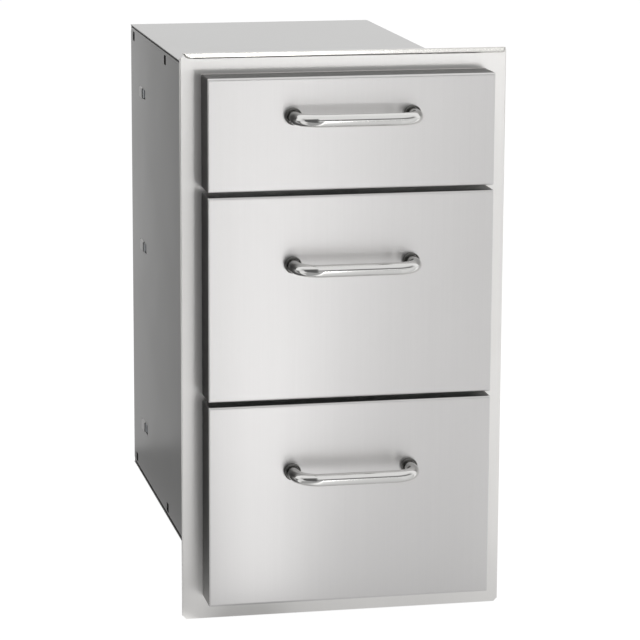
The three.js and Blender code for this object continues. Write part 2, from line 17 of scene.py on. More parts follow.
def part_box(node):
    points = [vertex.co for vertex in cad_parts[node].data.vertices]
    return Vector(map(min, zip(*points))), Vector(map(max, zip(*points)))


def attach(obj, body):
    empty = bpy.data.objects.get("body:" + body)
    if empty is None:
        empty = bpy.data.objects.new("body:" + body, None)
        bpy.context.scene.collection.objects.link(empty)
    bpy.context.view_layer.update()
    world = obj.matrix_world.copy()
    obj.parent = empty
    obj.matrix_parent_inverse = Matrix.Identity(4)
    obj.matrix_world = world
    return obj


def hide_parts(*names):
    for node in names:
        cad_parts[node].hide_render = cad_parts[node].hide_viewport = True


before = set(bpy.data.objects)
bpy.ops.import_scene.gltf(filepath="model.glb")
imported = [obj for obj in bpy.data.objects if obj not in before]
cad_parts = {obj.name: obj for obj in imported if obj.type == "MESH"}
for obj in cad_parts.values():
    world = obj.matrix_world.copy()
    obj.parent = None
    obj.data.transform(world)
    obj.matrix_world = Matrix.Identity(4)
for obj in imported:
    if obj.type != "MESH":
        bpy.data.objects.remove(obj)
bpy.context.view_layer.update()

# %% [markdown]
# ## The camera
# The unit is seen from the left and from a little above, through a long lens, so its edges hardly
# converge. The place and the angles come from a fit of the frame's and the box's corners. The camera's
# matrix is written from three directions, which is clearer than three turned angles: a camera looks along
# its own -Z, with +Y up.

# %% Camera
CAMERA_PLACE = Vector((-0.7038, -3.2158, 1.0249))
CAMERA_YAW = math.radians(11.905)
CAMERA_PITCH = math.radians(11.884)
CAMERA_ROLL = math.radians(0.251)
CAMERA_LENS = 168.88
CAMERA_SENSOR = 36

scene = bpy.context.scene
ahead = Vector((
    math.sin(CAMERA_YAW) * math.cos(CAMERA_PITCH),
    math.cos(CAMERA_YAW) * math.cos(CAMERA_PITCH),
    -math.sin(CAMERA_PITCH),
))
level_right = Vector((math.cos(CAMERA_YAW), -math.sin(CAMERA_YAW), 0))
level_up = level_right.cross(ahead)
camera_right = math.cos(CAMERA_ROLL) * level_right + math.sin(CAMERA_ROLL) * level_up
camera_up = math.cos(CAMERA_ROLL) * level_up - math.sin(CAMERA_ROLL) * level_right
camera_data = bpy.data.cameras.new("camera")
camera_data.lens = CAMERA_LENS
camera_data.sensor_width = CAMERA_SENSOR
camera = bpy.data.objects.new("camera", camera_data)
camera_turn = Matrix((camera_right, camera_up, -ahead)).transposed().to_4x4()
camera.matrix_world = Matrix.Translation(CAMERA_PLACE) @ camera_turn
scene.collection.objects.link(camera)
scene.camera = camera
print("camera", [round(v, 3) for v in camera.location], "lens", camera_data.lens)

# %% [markdown]
# ## Sheet metal as a surface with a thickness
# Nearly every piece here is folded from one flat sheet. So the mesh is made the way that the maker works:
# a flat blank with its holes, and flanges folded on from its edges. Only the middle of the sheet is drawn,
# and a Solidify modifier gives it its thickness. A Bevel modifier then breaks the cut edges, because a
# real edge is never perfectly sharp and its thin highlight is what makes metal look like metal. The sizes
# are in millimetres, in the CAD's frame, and become metres when the mesh is finished.

# %% Millimetres and boxes
MM = 0.001
X = Vector((1, 0, 0))
Y = Vector((0, 1, 0))
Z = Vector((0, 0, 1))
DRAWERS = ("bottom", "middle", "top")
SIDES = {"left": -1, "right": 1}


def box_mm(*nodes):
    """The lowest and highest corner of CAD nodes together, in millimetres."""
    corners = [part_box(node) for node in nodes]
    low = [min(c[0][i] for c in corners) / MM for i in range(3)]
    high = [max(c[1][i] for c in corners) / MM for i in range(3)]
    return Vector(low), Vector(high)


def on_plane(axis, level):
    """A function that puts a flat point on the plane where this axis has this level."""
    def place(a, b):
        values = [a, b]
        values.insert("xyz".index(axis), level)
        return Vector(values)
    return place


whole_low, whole_high = box_mm(*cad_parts)
print("whole unit, mm:", [round(v, 1) for v in whole_low], [round(v, 1) for v in whole_high])

# %% A flat blank with holes
def inside(point, ring):
    """Whether a flat point lies inside a ring of points."""
    odd = False
    for (x1, y1), (x2, y2) in zip(ring, ring[1:] + ring[:1]):
        crosses = (y1 > point[1]) != (y2 > point[1])
        if crosses and point[0] < x1 + (point[1] - y1) * (x2 - x1) / (y2 - y1):
            odd = not odd
    return odd


def blank(bm, ring, place, holes=()):
    """Fills a ring of flat points around its holes. place() puts a flat point in space."""
    points = []
    edges = []
    for loop in (ring, *holes):
        first = len(points)
        points += [Vector(point) for point in loop]
        edges += [(first + i, first + (i + 1) % len(loop)) for i in range(len(loop))]
    corners, _, faces = delaunay_2d_cdt(points, edges, [], 0, 1e-4)[:3]
    verts = [bm.verts.new(place(*corner)) for corner in corners]
    for face in faces:
        middle = sum((corners[i] for i in face), Vector((0, 0))) / len(face)
        if inside(middle, ring) and not any(inside(middle, hole) for hole in holes):
            bm.faces.new([verts[i] for i in face])


# %% Outlines of holes and plates
def rectangle(a, b, radius=0, steps=3):
    """A rectangle between two values on each of two axes, with its corners rounded."""
    if not radius:
        return [(a[0], b[0]), (a[1], b[0]), (a[1], b[1]), (a[0], b[1])]
    ring = []
    corners = ((a[1], b[0], -90), (a[1], b[1], 0), (a[0], b[1], 90), (a[0], b[0], 180))
    for end_a, end_b, first in corners:
        centre_a = end_a + (radius if end_a == a[0] else -radius)
        centre_b = end_b + (radius if end_b == b[0] else -radius)
        for step in range(steps + 1):
            angle = math.radians(first + 90 * step / steps)
            ring.append((centre_a + radius * math.cos(angle), centre_b + radius * math.sin(angle)))
    return ring


def around(a, b, half_a, half_b, radius):
    """A rounded rectangle around a middle."""
    return rectangle((a - half_a, a + half_a), (b - half_b, b + half_b), radius)


def notched(a, b, notch):
    """A rectangle with a square notch in each corner, as a blank has where four flanges meet."""
    (a0, a1), (b0, b1) = a, b
    return [
        (a0 + notch, b0), (a1 - notch, b0), (a1 - notch, b0 + notch), (a1, b0 + notch),
        (a1, b1 - notch), (a1 - notch, b1 - notch), (a1 - notch, b1), (a0 + notch, b1),
        (a0 + notch, b1 - notch), (a0, b1 - notch), (a0, b0 + notch), (a0 + notch, b0 + notch),
    ]


# %% Flanges folded on from the edges
BEND_STEPS = 6


def fold(bm, start, end, out, up, folds, draw_in=None):
    """Folds a strip on from the edge between start and end.

    out points away from the blank and up is the side that it turns to. Each fold is an angle in degrees,
    the radius of the sheet's middle and a straight length. draw_in(distance) shortens the strip's ends.
    """
    along = (end - start).normalized()
    ends = [start.copy(), end.copy()]
    gone = 0
    row = [bm.verts.new(start), bm.verts.new(end)]

    def advance(row, ends, gone):
        less = draw_in(gone) if draw_in else 0
        new = [bm.verts.new(ends[0] + along * less), bm.verts.new(ends[1] - along * less)]
        bm.faces.new((row[0], row[1], new[1], new[0]))
        return new

    for angle, radius, length in folds:
        turn = math.radians(angle)
        side = math.copysign(1, turn)
        steps = math.ceil(BEND_STEPS * abs(angle) / 90)
        for step in range(1, steps + 1):
            part = abs(turn) * step / steps
            move = out * radius * math.sin(part) + up * side * radius * (1 - math.cos(part))
            row = advance(row, [e + move for e in ends], gone + radius * part)
        if steps:
            ends = [e + move for e in ends]
            gone += radius * abs(turn)
        out, up = out * math.cos(turn) + up * math.sin(turn), up * math.cos(turn) - out * math.sin(turn)
        if length:
            ends = [e + out * length for e in ends]
            gone += length
            row = advance(row, ends, gone)


def cut_back(start, share):
    """Trims the ends of a strip: past a distance, it gets shorter by a share of the way gone."""
    return lambda gone: share * max(0, gone - start)


def folded(ring, place, flanges, holes=(), draw_in=None, bm=None):
    """A blank with flanges. Each names its first corner on the ring, and gives out, up and folds."""
    bm = bmesh.new() if bm is None else bm
    blank(bm, ring, place, holes)
    for corner, out, up, folds in flanges:
        start = place(*ring[corner])
        end = place(*ring[(corner + 1) % len(ring)])
        fold(bm, start, end, out, up, folds, draw_in)
    return bm


# %% From a drawn surface to a finished piece
EDGE_BREAK = 0.2
SHEET_ANGLE = math.radians(50)
SHEET_MERGE = 0.01
SOLID_MERGE = 0.001


def new_object(name, bm):
    """An object at the origin, with the drawn millimetres turned into metres."""
    bm.transform(Matrix.Scale(MM, 4))
    mesh = bpy.data.meshes.new(name)
    bm.to_mesh(mesh)
    bm.free()
    mesh.shade_smooth()
    piece = bpy.data.objects.new(name, mesh)
    scene.collection.objects.link(piece)
    return piece


def joined_object(name, bm, merge):
    """Joins what was drawn apart, turns its faces the same way and makes an object of it."""
    bmesh.ops.remove_doubles(bm, verts=bm.verts, dist=merge)
    bmesh.ops.recalc_face_normals(bm, faces=bm.faces)
    return new_object(name, bm)


def freeze(piece):
    """Turns what the modifiers make into the piece's own mesh."""
    graph = bpy.context.evaluated_depsgraph_get()
    made = bpy.data.meshes.new_from_object(piece.evaluated_get(graph), depsgraph=graph)
    piece.modifiers.clear()
    old = piece.data
    piece.data = made
    bpy.data.meshes.remove(old)
    made.name = piece.name
    return piece


def thicken(piece, sheet, offset=0):
    """Gives a drawn surface the sheet's thickness."""
    solid = piece.modifiers.new("sheet", "SOLIDIFY")
    solid.thickness = sheet * MM
    solid.offset = offset
    solid.use_even_offset = True


def break_edges(piece, width=EDGE_BREAK):
    """Rounds the sharp edges, and keeps the wide faces flat in the shading."""
    bevel = piece.modifiers.new("edges", "BEVEL")
    bevel.width = width * MM
    bevel.segments = 2
    bevel.limit_method = "ANGLE"
    bevel.angle_limit = SHEET_ANGLE
    normals = piece.modifiers.new("flat_faces", "WEIGHTED_NORMAL")
    normals.keep_sharp = True


def sheet_piece(name, bm, sheet, edge=EDGE_BREAK):
    """Joins the drawn strips, gives the surface its thickness and breaks its edges."""
    piece = joined_object(name, bm, SHEET_MERGE)
    thicken(piece, sheet)
    break_edges(piece, edge)
    return freeze(piece)


def solid_piece(name, bm, edge=EDGE_BREAK):
    """A closed shape with its sharp edges broken."""
    piece = joined_object(name, bm, SOLID_MERGE)
    break_edges(piece, edge)
    return freeze(piece)


# %% A small kit for node trees
WHITE = (1, 1, 1, 1)


def wire(tree, kind, values=None, links=None, **settings):
    """Adds a node, sets its sockets by name or number, and links its inputs."""
    node = tree.nodes.new(kind)
    for key, value in settings.items():
        setattr(node, key, value)
    for key, value in (values or {}).items():
        node.inputs[key].default_value = value
    for key, source in (links or {}).items():
        tree.links.new(source, node.inputs[key])
    return node


def calculate(tree, operation, *terms, clamp=False):
    """A Math node. Each term is a number or the output of another node."""
    values = {i: term for i, term in enumerate(terms) if isinstance(term, (int, float))}
    links = {i: term for i, term in enumerate(terms) if i not in values}
    node = wire(tree, "ShaderNodeMath", values, links, operation=operation, use_clamp=clamp)
    return node.outputs[0]


def ray_is(tree, first, second=None):
    """1 where this Light Path output is true, or either of two."""
    path = wire(tree, "ShaderNodeLightPath")
    if second:
        return calculate(tree, "MAXIMUM", path.outputs[first], path.outputs[second])
    return path.outputs[first]


def new_material(name):
    """A material with an empty node tree."""
    material = bpy.data.materials.new(name)
    material.use_nodes = True
    material.node_tree.nodes.clear()
    return material, material.node_tree


def new_group(name, inputs, outputs):
    """A shader node group with named sockets. Each input is a name, a kind and a value."""
    tree = bpy.data.node_groups.new(name, "ShaderNodeTree")
    for label, kind, value in inputs:
        socket = tree.interface.new_socket(label, in_out="INPUT", socket_type="NodeSocket" + kind)
        socket.default_value = value
    for label, kind in outputs:
        tree.interface.new_socket(label, in_out="OUTPUT", socket_type="NodeSocket" + kind)
    return tree, tree.nodes.new("NodeGroupInput"), tree.nodes.new("NodeGroupOutput")


# %% [markdown]
# ## The studio
# Steel has hardly any colour of its own: it shows the room. The unit stands on a pale floor, and soft
# boxes light it at a plain level. What the steel mirrors is set up apart from that, as a photographer sets
# up cards outside the picture. From the camera, the fronts and the frame mirror the floor in front of the
# unit. So a thin mat lies there that only reflections see, and its brightness is written by where on the
# frame the camera sees each spot mirrored. The left sides of the drawers are dark, because the frame that
# they mirror mirrors a black part of the mat and a black card at the front left. A grey card at the rear
# left calms the side panel. The cards' edges fade out, so that no edge shows in the steel.

# %% Floor
FOOT = whole_low.z * MM
FLOOR_REACH = 8
FLOOR_DROP = 0.0002
FLOOR_COLOUR = (0.92, 0.92, 0.92, 1)
FLOOR_GLOW = 0.95
FLOOR_SEEN = 1.04
FLOOR_MIRRORED = 0.72


def stage_object(name, corners, faces, material):
    """A flat thing of the studio, in metres."""
    mesh = bpy.data.meshes.new(name)
    mesh.from_pydata(corners, [], faces)
    mesh.materials.append(material)
    made = bpy.data.objects.new(name, mesh)
    scene.collection.objects.link(made)
    return made


floor_material, tree = new_material("pale_floor")
floor_material.cycles.emission_sampling = "NONE"
matt = wire(tree, "ShaderNodeBsdfDiffuse", {"Color": FLOOR_COLOUR})
glow_level = wire(tree, "ShaderNodeMix", {"A": FLOOR_SEEN, "B": FLOOR_MIRRORED},
                  {"Factor": ray_is(tree, "Is Glossy Ray")})
glow = wire(tree, "ShaderNodeEmission", {"Color": WHITE}, {"Strength": glow_level.outputs["Result"]})
seen = calculate(tree, "MULTIPLY", ray_is(tree, "Is Camera Ray", "Is Transmission Ray"), FLOOR_GLOW)
glow_share = calculate(tree, "MAXIMUM", seen, ray_is(tree, "Is Glossy Ray"))
blend = wire(tree, "ShaderNodeMixShader", links={"Fac": glow_share, 1: matt.outputs[0], 2: glow.outputs[0]})
wire(tree, "ShaderNodeOutputMaterial", links={"Surface": blend.outputs[0]})
floor_level = FOOT - FLOOR_DROP
stage_object("floor", [
    (a * FLOOR_REACH, b * FLOOR_REACH, floor_level) for a, b in ((-1, -1), (1, -1), (1, 1), (-1, 1))
], [(0, 1, 2, 3)], floor_material)
print("floor at", round(floor_level, 4))

# %% [markdown]
# The dark parts of the studio are meant for steel that is seen by way of other steel. Mirrored directly,
# from the front right, they would turn the fronts black. Light Path's Ray Depth tells the two apart, so a
# ray that was reflected only once gets a lighter floor.

# %% What single reflections see
SINGLE_FLOOR = 0.4
SINGLE_FRONT = 0.12
SINGLE_DEPTH = 1.5


def lighter(tree, level, least):
    """The level, or for a ray that was reflected once the larger of the level and the least one."""
    path = wire(tree, "ShaderNodeLightPath")
    once = calculate(tree, "LESS_THAN", path.outputs["Ray Depth"], SINGLE_DEPTH)
    return calculate(tree, "MAXIMUM", level, calculate(tree, "MULTIPLY", once, least))


# %% World
ROOM_AMBIENT = 0.5
ROOM_FRONT = 0.1
ROOM_BACK = ("Y", -0.5, 0.1, 0.96)
ROOM_LOW = ("Z", 0.2, 0.0, 0.9)
ROOM_HIGH = ("Z", 0.2, 0.6, 0.88)
world = bpy.data.worlds.new("studio")
scene.world = world
world.use_nodes = True
tree = world.node_tree
tree.nodes.clear()
direction = wire(tree, "ShaderNodeTexCoord")
apart = wire(tree, "ShaderNodeSeparateXYZ", links={0: direction.outputs["Generated"]})
levels = [
    wire(tree, "ShaderNodeMapRange", {
        "From Min": start, "From Max": end, "To Min": ROOM_FRONT, "To Max": level,
    }, {"Value": apart.outputs[axis]}, interpolation_type="SMOOTHSTEP").outputs["Result"]
    for axis, start, end, level in (ROOM_BACK, ROOM_LOW, ROOM_HIGH)
]
room = calculate(tree, "MAXIMUM", calculate(tree, "MAXIMUM", levels[0], levels[1]), levels[2])
room = lighter(tree, room, SINGLE_FRONT)
plain = wire(tree, "ShaderNodeMix", {"A": ROOM_AMBIENT}, {
    "B": room, "Factor": ray_is(tree, "Is Glossy Ray"),
})
strength = wire(tree, "ShaderNodeMix", {"B": 1}, {
    "A": plain.outputs["Result"], "Factor": ray_is(tree, "Is Camera Ray", "Is Transmission Ray"),
})
background = wire(tree, "ShaderNodeBackground", {"Color": WHITE}, {"Strength": strength.outputs["Result"]})
wire(tree, "ShaderNodeOutputWorld", links={"Surface": background.outputs[0]})
scene.view_settings.view_transform = "Standard"
print("world: ambient", ROOM_AMBIENT, "front of the room", ROOM_FRONT)

# %% Soft boxes
def soft_box(name, place, size, power):
    """A square lamp that faces the unit. Reflections see the room and the cards instead of it."""
    data = bpy.data.lights.new(name, "AREA")
    data.shape = "SQUARE"
    data.size = size
    data.energy = power
    lamp = bpy.data.objects.new(name, data)
    lamp.location = place
    lamp.rotation_euler = (UNIT_MIDDLE - Vector(place)).to_track_quat("-Z", "Y").to_euler()
    lamp.visible_glossy = False
    scene.collection.objects.link(lamp)


UNIT_MIDDLE = Vector((0, 0.2, 0.3))
soft_box("overhead_box", (0.1, -0.3, 2.4), 1.8, 65)
soft_box("right_box", (1.9, -1.9, 1.5), 1.1, 34)
soft_box("left_fill", (-2.4, 0.3, 1.9), 1.2, 22)

# %% Cards that only reflections see
def smooth(value, low, high):
    """0 below low, 1 above high and a soft step between them."""
    part = min(1, max(0, (value - low) / (high - low)))
    return part * part * (3 - 2 * part)


def spread(low, high, count):
    """Evenly spread values, both ends included."""
    return [low + (high - low) * i / (count - 1) for i in range(count)]


def card(name, columns, rows, place, shade, cover=lambda a, b: 1, single=lambda a, b: 0):
    """A sheet that glows by shade(a, b) and hides by cover(a, b), seen by nothing but reflections.

    A ray that was reflected only once sees it no darker than single(a, b).
    """
    measures = {"shade": shade, "cover": cover, "single": single}
    material, tree = new_material(name)
    material.cycles.emission_sampling = "NONE"
    read = {
        kind: wire(tree, "ShaderNodeAttribute", attribute_name=kind).outputs["Fac"] for kind in measures
    }
    level = lighter(tree, read["shade"], read["single"])
    glow = wire(tree, "ShaderNodeEmission", links={"Strength": level})
    clear = wire(tree, "ShaderNodeBsdfTransparent")
    blend = wire(tree, "ShaderNodeMixShader", links={
        "Fac": read["cover"], 1: clear.outputs[0], 2: glow.outputs[0],
    })
    wire(tree, "ShaderNodeOutputMaterial", links={"Surface": blend.outputs[0]})
    points = [(a, b) for b in rows for a in columns]
    across = len(columns)
    quads = [
        (i, i + 1, i + 1 + across, i + across)
        for i in range(len(points) - across) if (i + 1) % across
    ]
    made = stage_object(name, [place(a, b) for a, b in points], quads, material)
    for kind, measure in measures.items():
        values = made.data.attributes.new(kind, "FLOAT", "POINT")
        values.data.foreach_set("value", [measure(a, b) for a, b in points])
    for kind in ("camera", "diffuse", "transmission", "shadow", "volume_scatter"):
        setattr(made, "visible_" + kind, False)
    print(name, "has", len(quads), "faces")


# %% Brightness of the mat
BLACK = 0.02
GREY = 0.205
ACROSS = ((-0.27, BLACK), (-0.165, 0.94), (0.0, 0.87), (0.1, 0.87), (0.19, 0.96), (0.4, 0.94))
UPWARD = (
    (0.0, 0.68), (0.08, 0.82), (0.22, 0.88), (0.36, 0.8),
    (0.46, 0.56), (0.54, 0.38), (0.6, 1.35), (0.64, 2.1),
)
LEFT_BOOST = ((-0.19, 0.0), (-0.115, 2.4), (-0.03, 0.3), (0.04, 0.0))
BOOST_RISE = ((0.0, -0.2), (0.06, 0.25), (0.12, 0.3), (0.32, 0.95), (0.5, 2.2), (0.62, 2.2))
SIDE_CORNER = -0.17
SIDE_LEVEL = 0.9
SIDE_ANGLES = (42, 62)
REAR_STEP = (-0.2, -0.1)


def look_up(table, place):
    """The value at a place in a table of (place, value) steps, softly blended."""
    if place <= table[0][0]:
        return table[0][1]
    for (a, low), (b, high) in zip(table, table[1:]):
        if place <= b:
            return low + (high - low) * smooth(place, a, b)
    return table[-1][1]


def mirrored_at(x, y):
    """Where in the plane of the face frame the camera sees this spot of the floor mirrored."""
    back = -CAMERA_PLACE[1]
    share = back / (back - y)
    across = CAMERA_PLACE[0] + (x - CAMERA_PLACE[0]) * share
    up = CAMERA_PLACE[2] + (FOOT - CAMERA_PLACE[2]) * share
    return across, up


def mat_shade(x, y):
    """The mat is bright in front and at the sides, black at the front left and grey at the rear left."""
    if y > 0:
        return GREY + (1 - GREY) * smooth(x, *REAR_STEP)
    across, up = mirrored_at(x, y)
    boost = 1 + look_up(LEFT_BOOST, across) * look_up(BOOST_RISE, up)
    aside = math.degrees(math.atan2(SIDE_CORNER - x, -y))
    ahead_level = look_up(ACROSS, across) * look_up(UPWARD, up) * boost
    return max(BLACK, ahead_level, SIDE_LEVEL * smooth(aside, *SIDE_ANGLES))


# %% Mat and cards
MAT_RISE = 0.0004
CARD_DISTANCE = -1.3
CARD_HEIGHT = 2.4
CARD_EDGE = -0.22
CARD_SOLID = 0.46
GREY_CARD_PLACE = 0.75
GREY_CARD_SLANT = 0.25
GREY_CARD_GAIN = 1.5
GREY_CARD_FADE = (0.34, 0.2)

card("reflector_mat", spread(-3, -0.35, 8) + spread(-0.3, 0.9, 61) + spread(1, 3, 9),
     spread(-6, -1.2, 25) + spread(-1.1, 0, 23) + spread(0.001, 2, 9),
     lambda x, y: (x, y, FOOT + MAT_RISE), mat_shade, single=lambda x, y: SINGLE_FLOOR * (y <= 0))
card("black_card", spread(-3.2, CARD_EDGE, 31), spread(0, CARD_HEIGHT, 19),
     lambda x, z: (x, CARD_DISTANCE, z), lambda x, z: BLACK,
     cover=lambda x, z: smooth(-x, -CARD_EDGE, CARD_SOLID) * smooth(CARD_HEIGHT - z, 0, CARD_HEIGHT / 2),
     single=lambda x, z: SINGLE_FRONT)
card("grey_card", [-1.8] + spread(-0.6, SIDE_CORNER, 24), [0.0, 1.3],
     lambda x, z: (x, GREY_CARD_PLACE - GREY_CARD_SLANT * (x - SIDE_CORNER), z),
     lambda x, z: GREY * (1 + GREY_CARD_GAIN * smooth(-x, *GREY_CARD_FADE)))

# %% [markdown]
# ## Finishes
# A finish is more than a colour. Brushed steel has a grain that runs one way, slow changes of tone from
# handling and rolling, and lighter edges, partly ground wear and partly a painted highlight. Some
# finishes darken their edges instead, as painted shade, and some darken the faces that look sideways,
# up or down, as painted shade too. These effects are shader node groups with named inputs, made once, so
# that each material only chooses its own values. Noise that is stretched along one axis makes the grain:
# the finer it is across and the longer it is along, the more it looks like the marks of an abrasive belt.

# %% Group: the grain of a brushed or rolled sheet
def around_half(tree, value, strength):
    """Strengthens a mask around its middle, and keeps it between 0 and 1."""
    centred = calculate(tree, "SUBTRACT", value, 0.5)
    return calculate(tree, "ADD", calculate(tree, "MULTIPLY", centred, strength), 0.5, clamp=True)


grain_group, given, result = new_group("sheet_grain", [
    ("Place", "Vector", (0, 0, 0)),
    ("Stretch", "Vector", (900, 8, 8)),
    ("Contrast", "Float", 1.0),
], [("Grain", "Float")])
tree = grain_group
stretched = wire(tree, "ShaderNodeVectorMath", links={
    0: given.outputs["Place"], 1: given.outputs["Stretch"],
}, operation="MULTIPLY")
fine = wire(tree, "ShaderNodeTexNoise", {"Scale": 1.0, "Detail": 3.0, "Roughness": 0.7},
            {"Vector": stretched.outputs[0]})
broad = wire(tree, "ShaderNodeTexNoise", {"Scale": 0.17, "Detail": 1.0}, {"Vector": stretched.outputs[0]})
both = wire(tree, "ShaderNodeMix", {"Factor": 0.35}, {"A": fine.outputs[0], "B": broad.outputs[0]})
grain = around_half(tree, both.outputs[0], given.outputs["Contrast"])
tree.links.new(grain, result.inputs["Grain"])
print("group", grain_group.name, [s.name for s in grain_group.interface.items_tree])

# %% Group: slow changes of tone, as rolling and handling leave them
cloud_group, given, result = new_group("handling_marks", [
    ("Place", "Vector", (0, 0, 0)),
    ("Size", "Float", 5.0),
    ("Sharpness", "Float", 2.0),
], [("Mark", "Float")])
tree = cloud_group
slow = wire(tree, "ShaderNodeTexNoise", {"Detail": 4.0, "Roughness": 0.55, "Distortion": 0.6},
            {"Vector": given.outputs["Place"], "Scale": given.outputs["Size"]})
mark = around_half(tree, slow.outputs[0], given.outputs["Sharpness"])
tree.links.new(mark, result.inputs["Mark"])
print("group", cloud_group.name)

# %% Group: where an edge is near, from a normal that is rounded by the Bevel node
edge_group, given, result = new_group("near_an_edge", [("Radius", "Float", 0.001)], [("Edge", "Float")])
tree = edge_group
rounded = wire(tree, "ShaderNodeBevel", links={"Radius": given.outputs["Radius"]}, samples=4)
unrounded = wire(tree, "ShaderNodeNewGeometry")
alike = wire(tree, "ShaderNodeVectorMath", links={0: rounded.outputs[0], 1: unrounded.outputs["Normal"]},
             operation="DOT_PRODUCT")
edge = wire(tree, "ShaderNodeMapRange", {"From Min": 0.995, "From Max": 0.85},
            {"Value": alike.outputs["Value"]})
tree.links.new(edge.outputs["Result"], result.inputs["Edge"])
print("group", edge_group.name)

# %% Group: the whole skin of a steel part
skin_group, given, result = new_group("steel_skin", [
    ("Colour", "Color", (0.6, 0.6, 0.6, 1)),
    ("Stretch", "Vector", (900, 8, 8)),
    ("Grain Tone", "Float", 0.1),
    ("Mark Size", "Float", 5.0),
    ("Mark Tone", "Float", 0.1),
    ("Roughness", "Float", 0.3),
    ("Grain Roughness", "Float", 0.1),
    ("Mark Roughness", "Float", 0.1),
    ("Edge Radius", "Float", 0.001),
    ("Edge Tone", "Float", 0.15),
    ("Side Tone", "Float", 0.0),
], [("Colour", "Color"), ("Roughness", "Float"), ("Height", "Float")])
tree = skin_group
place = wire(tree, "ShaderNodeTexCoord")
grain = wire(tree, "ShaderNodeGroup", node_tree=grain_group)
tree.links.new(place.outputs["Object"], grain.inputs["Place"])
tree.links.new(given.outputs["Stretch"], grain.inputs["Stretch"])
marks = wire(tree, "ShaderNodeGroup", node_tree=cloud_group)
tree.links.new(place.outputs["Object"], marks.inputs["Place"])
tree.links.new(given.outputs["Mark Size"], marks.inputs["Size"])
edges = wire(tree, "ShaderNodeGroup", node_tree=edge_group)
tree.links.new(given.outputs["Edge Radius"], edges.inputs["Radius"])


def swing(tree, mask, amount):
    """The mask's distance from its middle, times an amount."""
    return calculate(tree, "MULTIPLY", calculate(tree, "SUBTRACT", mask, 0.5), amount)


def total_of(tree, first, *others, clamp=False):
    """The sum of several values."""
    total = first
    for other in others:
        total = calculate(tree, "ADD", total, other, clamp=clamp)
    return total


# The side darkening is painted shade, and it reaches only the faces that look left, right, up or down.
facing = wire(tree, "ShaderNodeSeparateXYZ", links={0: place.outputs["Normal"]}).outputs["Y"]
painted_side_shade_mask = wire(tree, "ShaderNodeMapRange", {"From Min": 0.5, "From Max": 0.2},
                 {"Value": calculate(tree, "ABSOLUTE", facing)})
brightness = total_of(
    tree,
    swing(tree, grain.outputs["Grain"], given.outputs["Grain Tone"]),
    swing(tree, marks.outputs["Mark"], given.outputs["Mark Tone"]),
    calculate(tree, "MULTIPLY", edges.outputs["Edge"], given.outputs["Edge Tone"]),
    calculate(tree, "MULTIPLY", painted_side_shade_mask.outputs["Result"], given.outputs["Side Tone"]),
    1.0,
)
colour = wire(tree, "ShaderNodeVectorMath", links={0: given.outputs["Colour"], "Scale": brightness},
              operation="SCALE")
roughness = total_of(
    tree,
    given.outputs["Roughness"],
    swing(tree, grain.outputs["Grain"], given.outputs["Grain Roughness"]),
    swing(tree, marks.outputs["Mark"], given.outputs["Mark Roughness"]),
    clamp=True,
)
tree.links.new(colour.outputs[0], result.inputs["Colour"])
tree.links.new(roughness, result.inputs["Roughness"])
tree.links.new(grain.outputs["Grain"], result.inputs["Height"])
print("group", skin_group.name, "with", len(tree.nodes), "nodes")

# %% [markdown]
# Each finish is one row: the skin's inputs and the depth of its relief. Brushed steel also smears what it
# mirrors more one way than the other. The shader calls that anisotropic, and a rotation of 0.25 swings
# the smear by a quarter of a full turn. The fronts' side faces get painted shade, a darker colour than
# their front, and the edges of the box's top and bottom get painted shade too, where the seams are. The
# fronts' edges carry a painted highlight, and the straps are painted lighter than the wall they are cut
# from.

# %% Steel materials
finishes = {}


def steel(name, colour, stretch, grain, mark, roughness, edge, relief, brushed=0.0, turn=0.0, side=0.0):
    """A steel finish.

    grain is its tone and its share of the roughness, mark is size, tone and roughness, edge is radius and
    tone: a lighter edge is partly ground wear and partly a painted highlight, and a darker one is painted
    shade. brushed and turn are how far and which way the highlights are drawn out. side darkens the faces
    that look left, right, up or down, as painted shade.
    """
    material, tree = new_material(name)
    skin = wire(tree, "ShaderNodeGroup", node_tree=skin_group)
    for label, value in {
        "Colour": (*colour, 1), "Stretch": stretch, "Grain Tone": grain[0], "Grain Roughness": grain[1],
        "Mark Size": mark[0], "Mark Tone": mark[1], "Mark Roughness": mark[2], "Roughness": roughness,
        "Edge Radius": edge[0], "Edge Tone": edge[1], "Side Tone": side,
    }.items():
        skin.inputs[label].default_value = value
    bump = wire(tree, "ShaderNodeBump", {"Strength": 1.0, "Distance": relief},
                {"Height": skin.outputs["Height"]})
    body = wire(
        tree, "ShaderNodeBsdfPrincipled",
        {"Metallic": 1, "Anisotropic": brushed, "Anisotropic Rotation": turn},
        {"Base Color": skin.outputs["Colour"], "Roughness": skin.outputs["Roughness"],
         "Normal": bump.outputs[0]},
    )
    wire(tree, "ShaderNodeOutputMaterial", links={"Surface": body.outputs[0]})
    finishes[name] = material


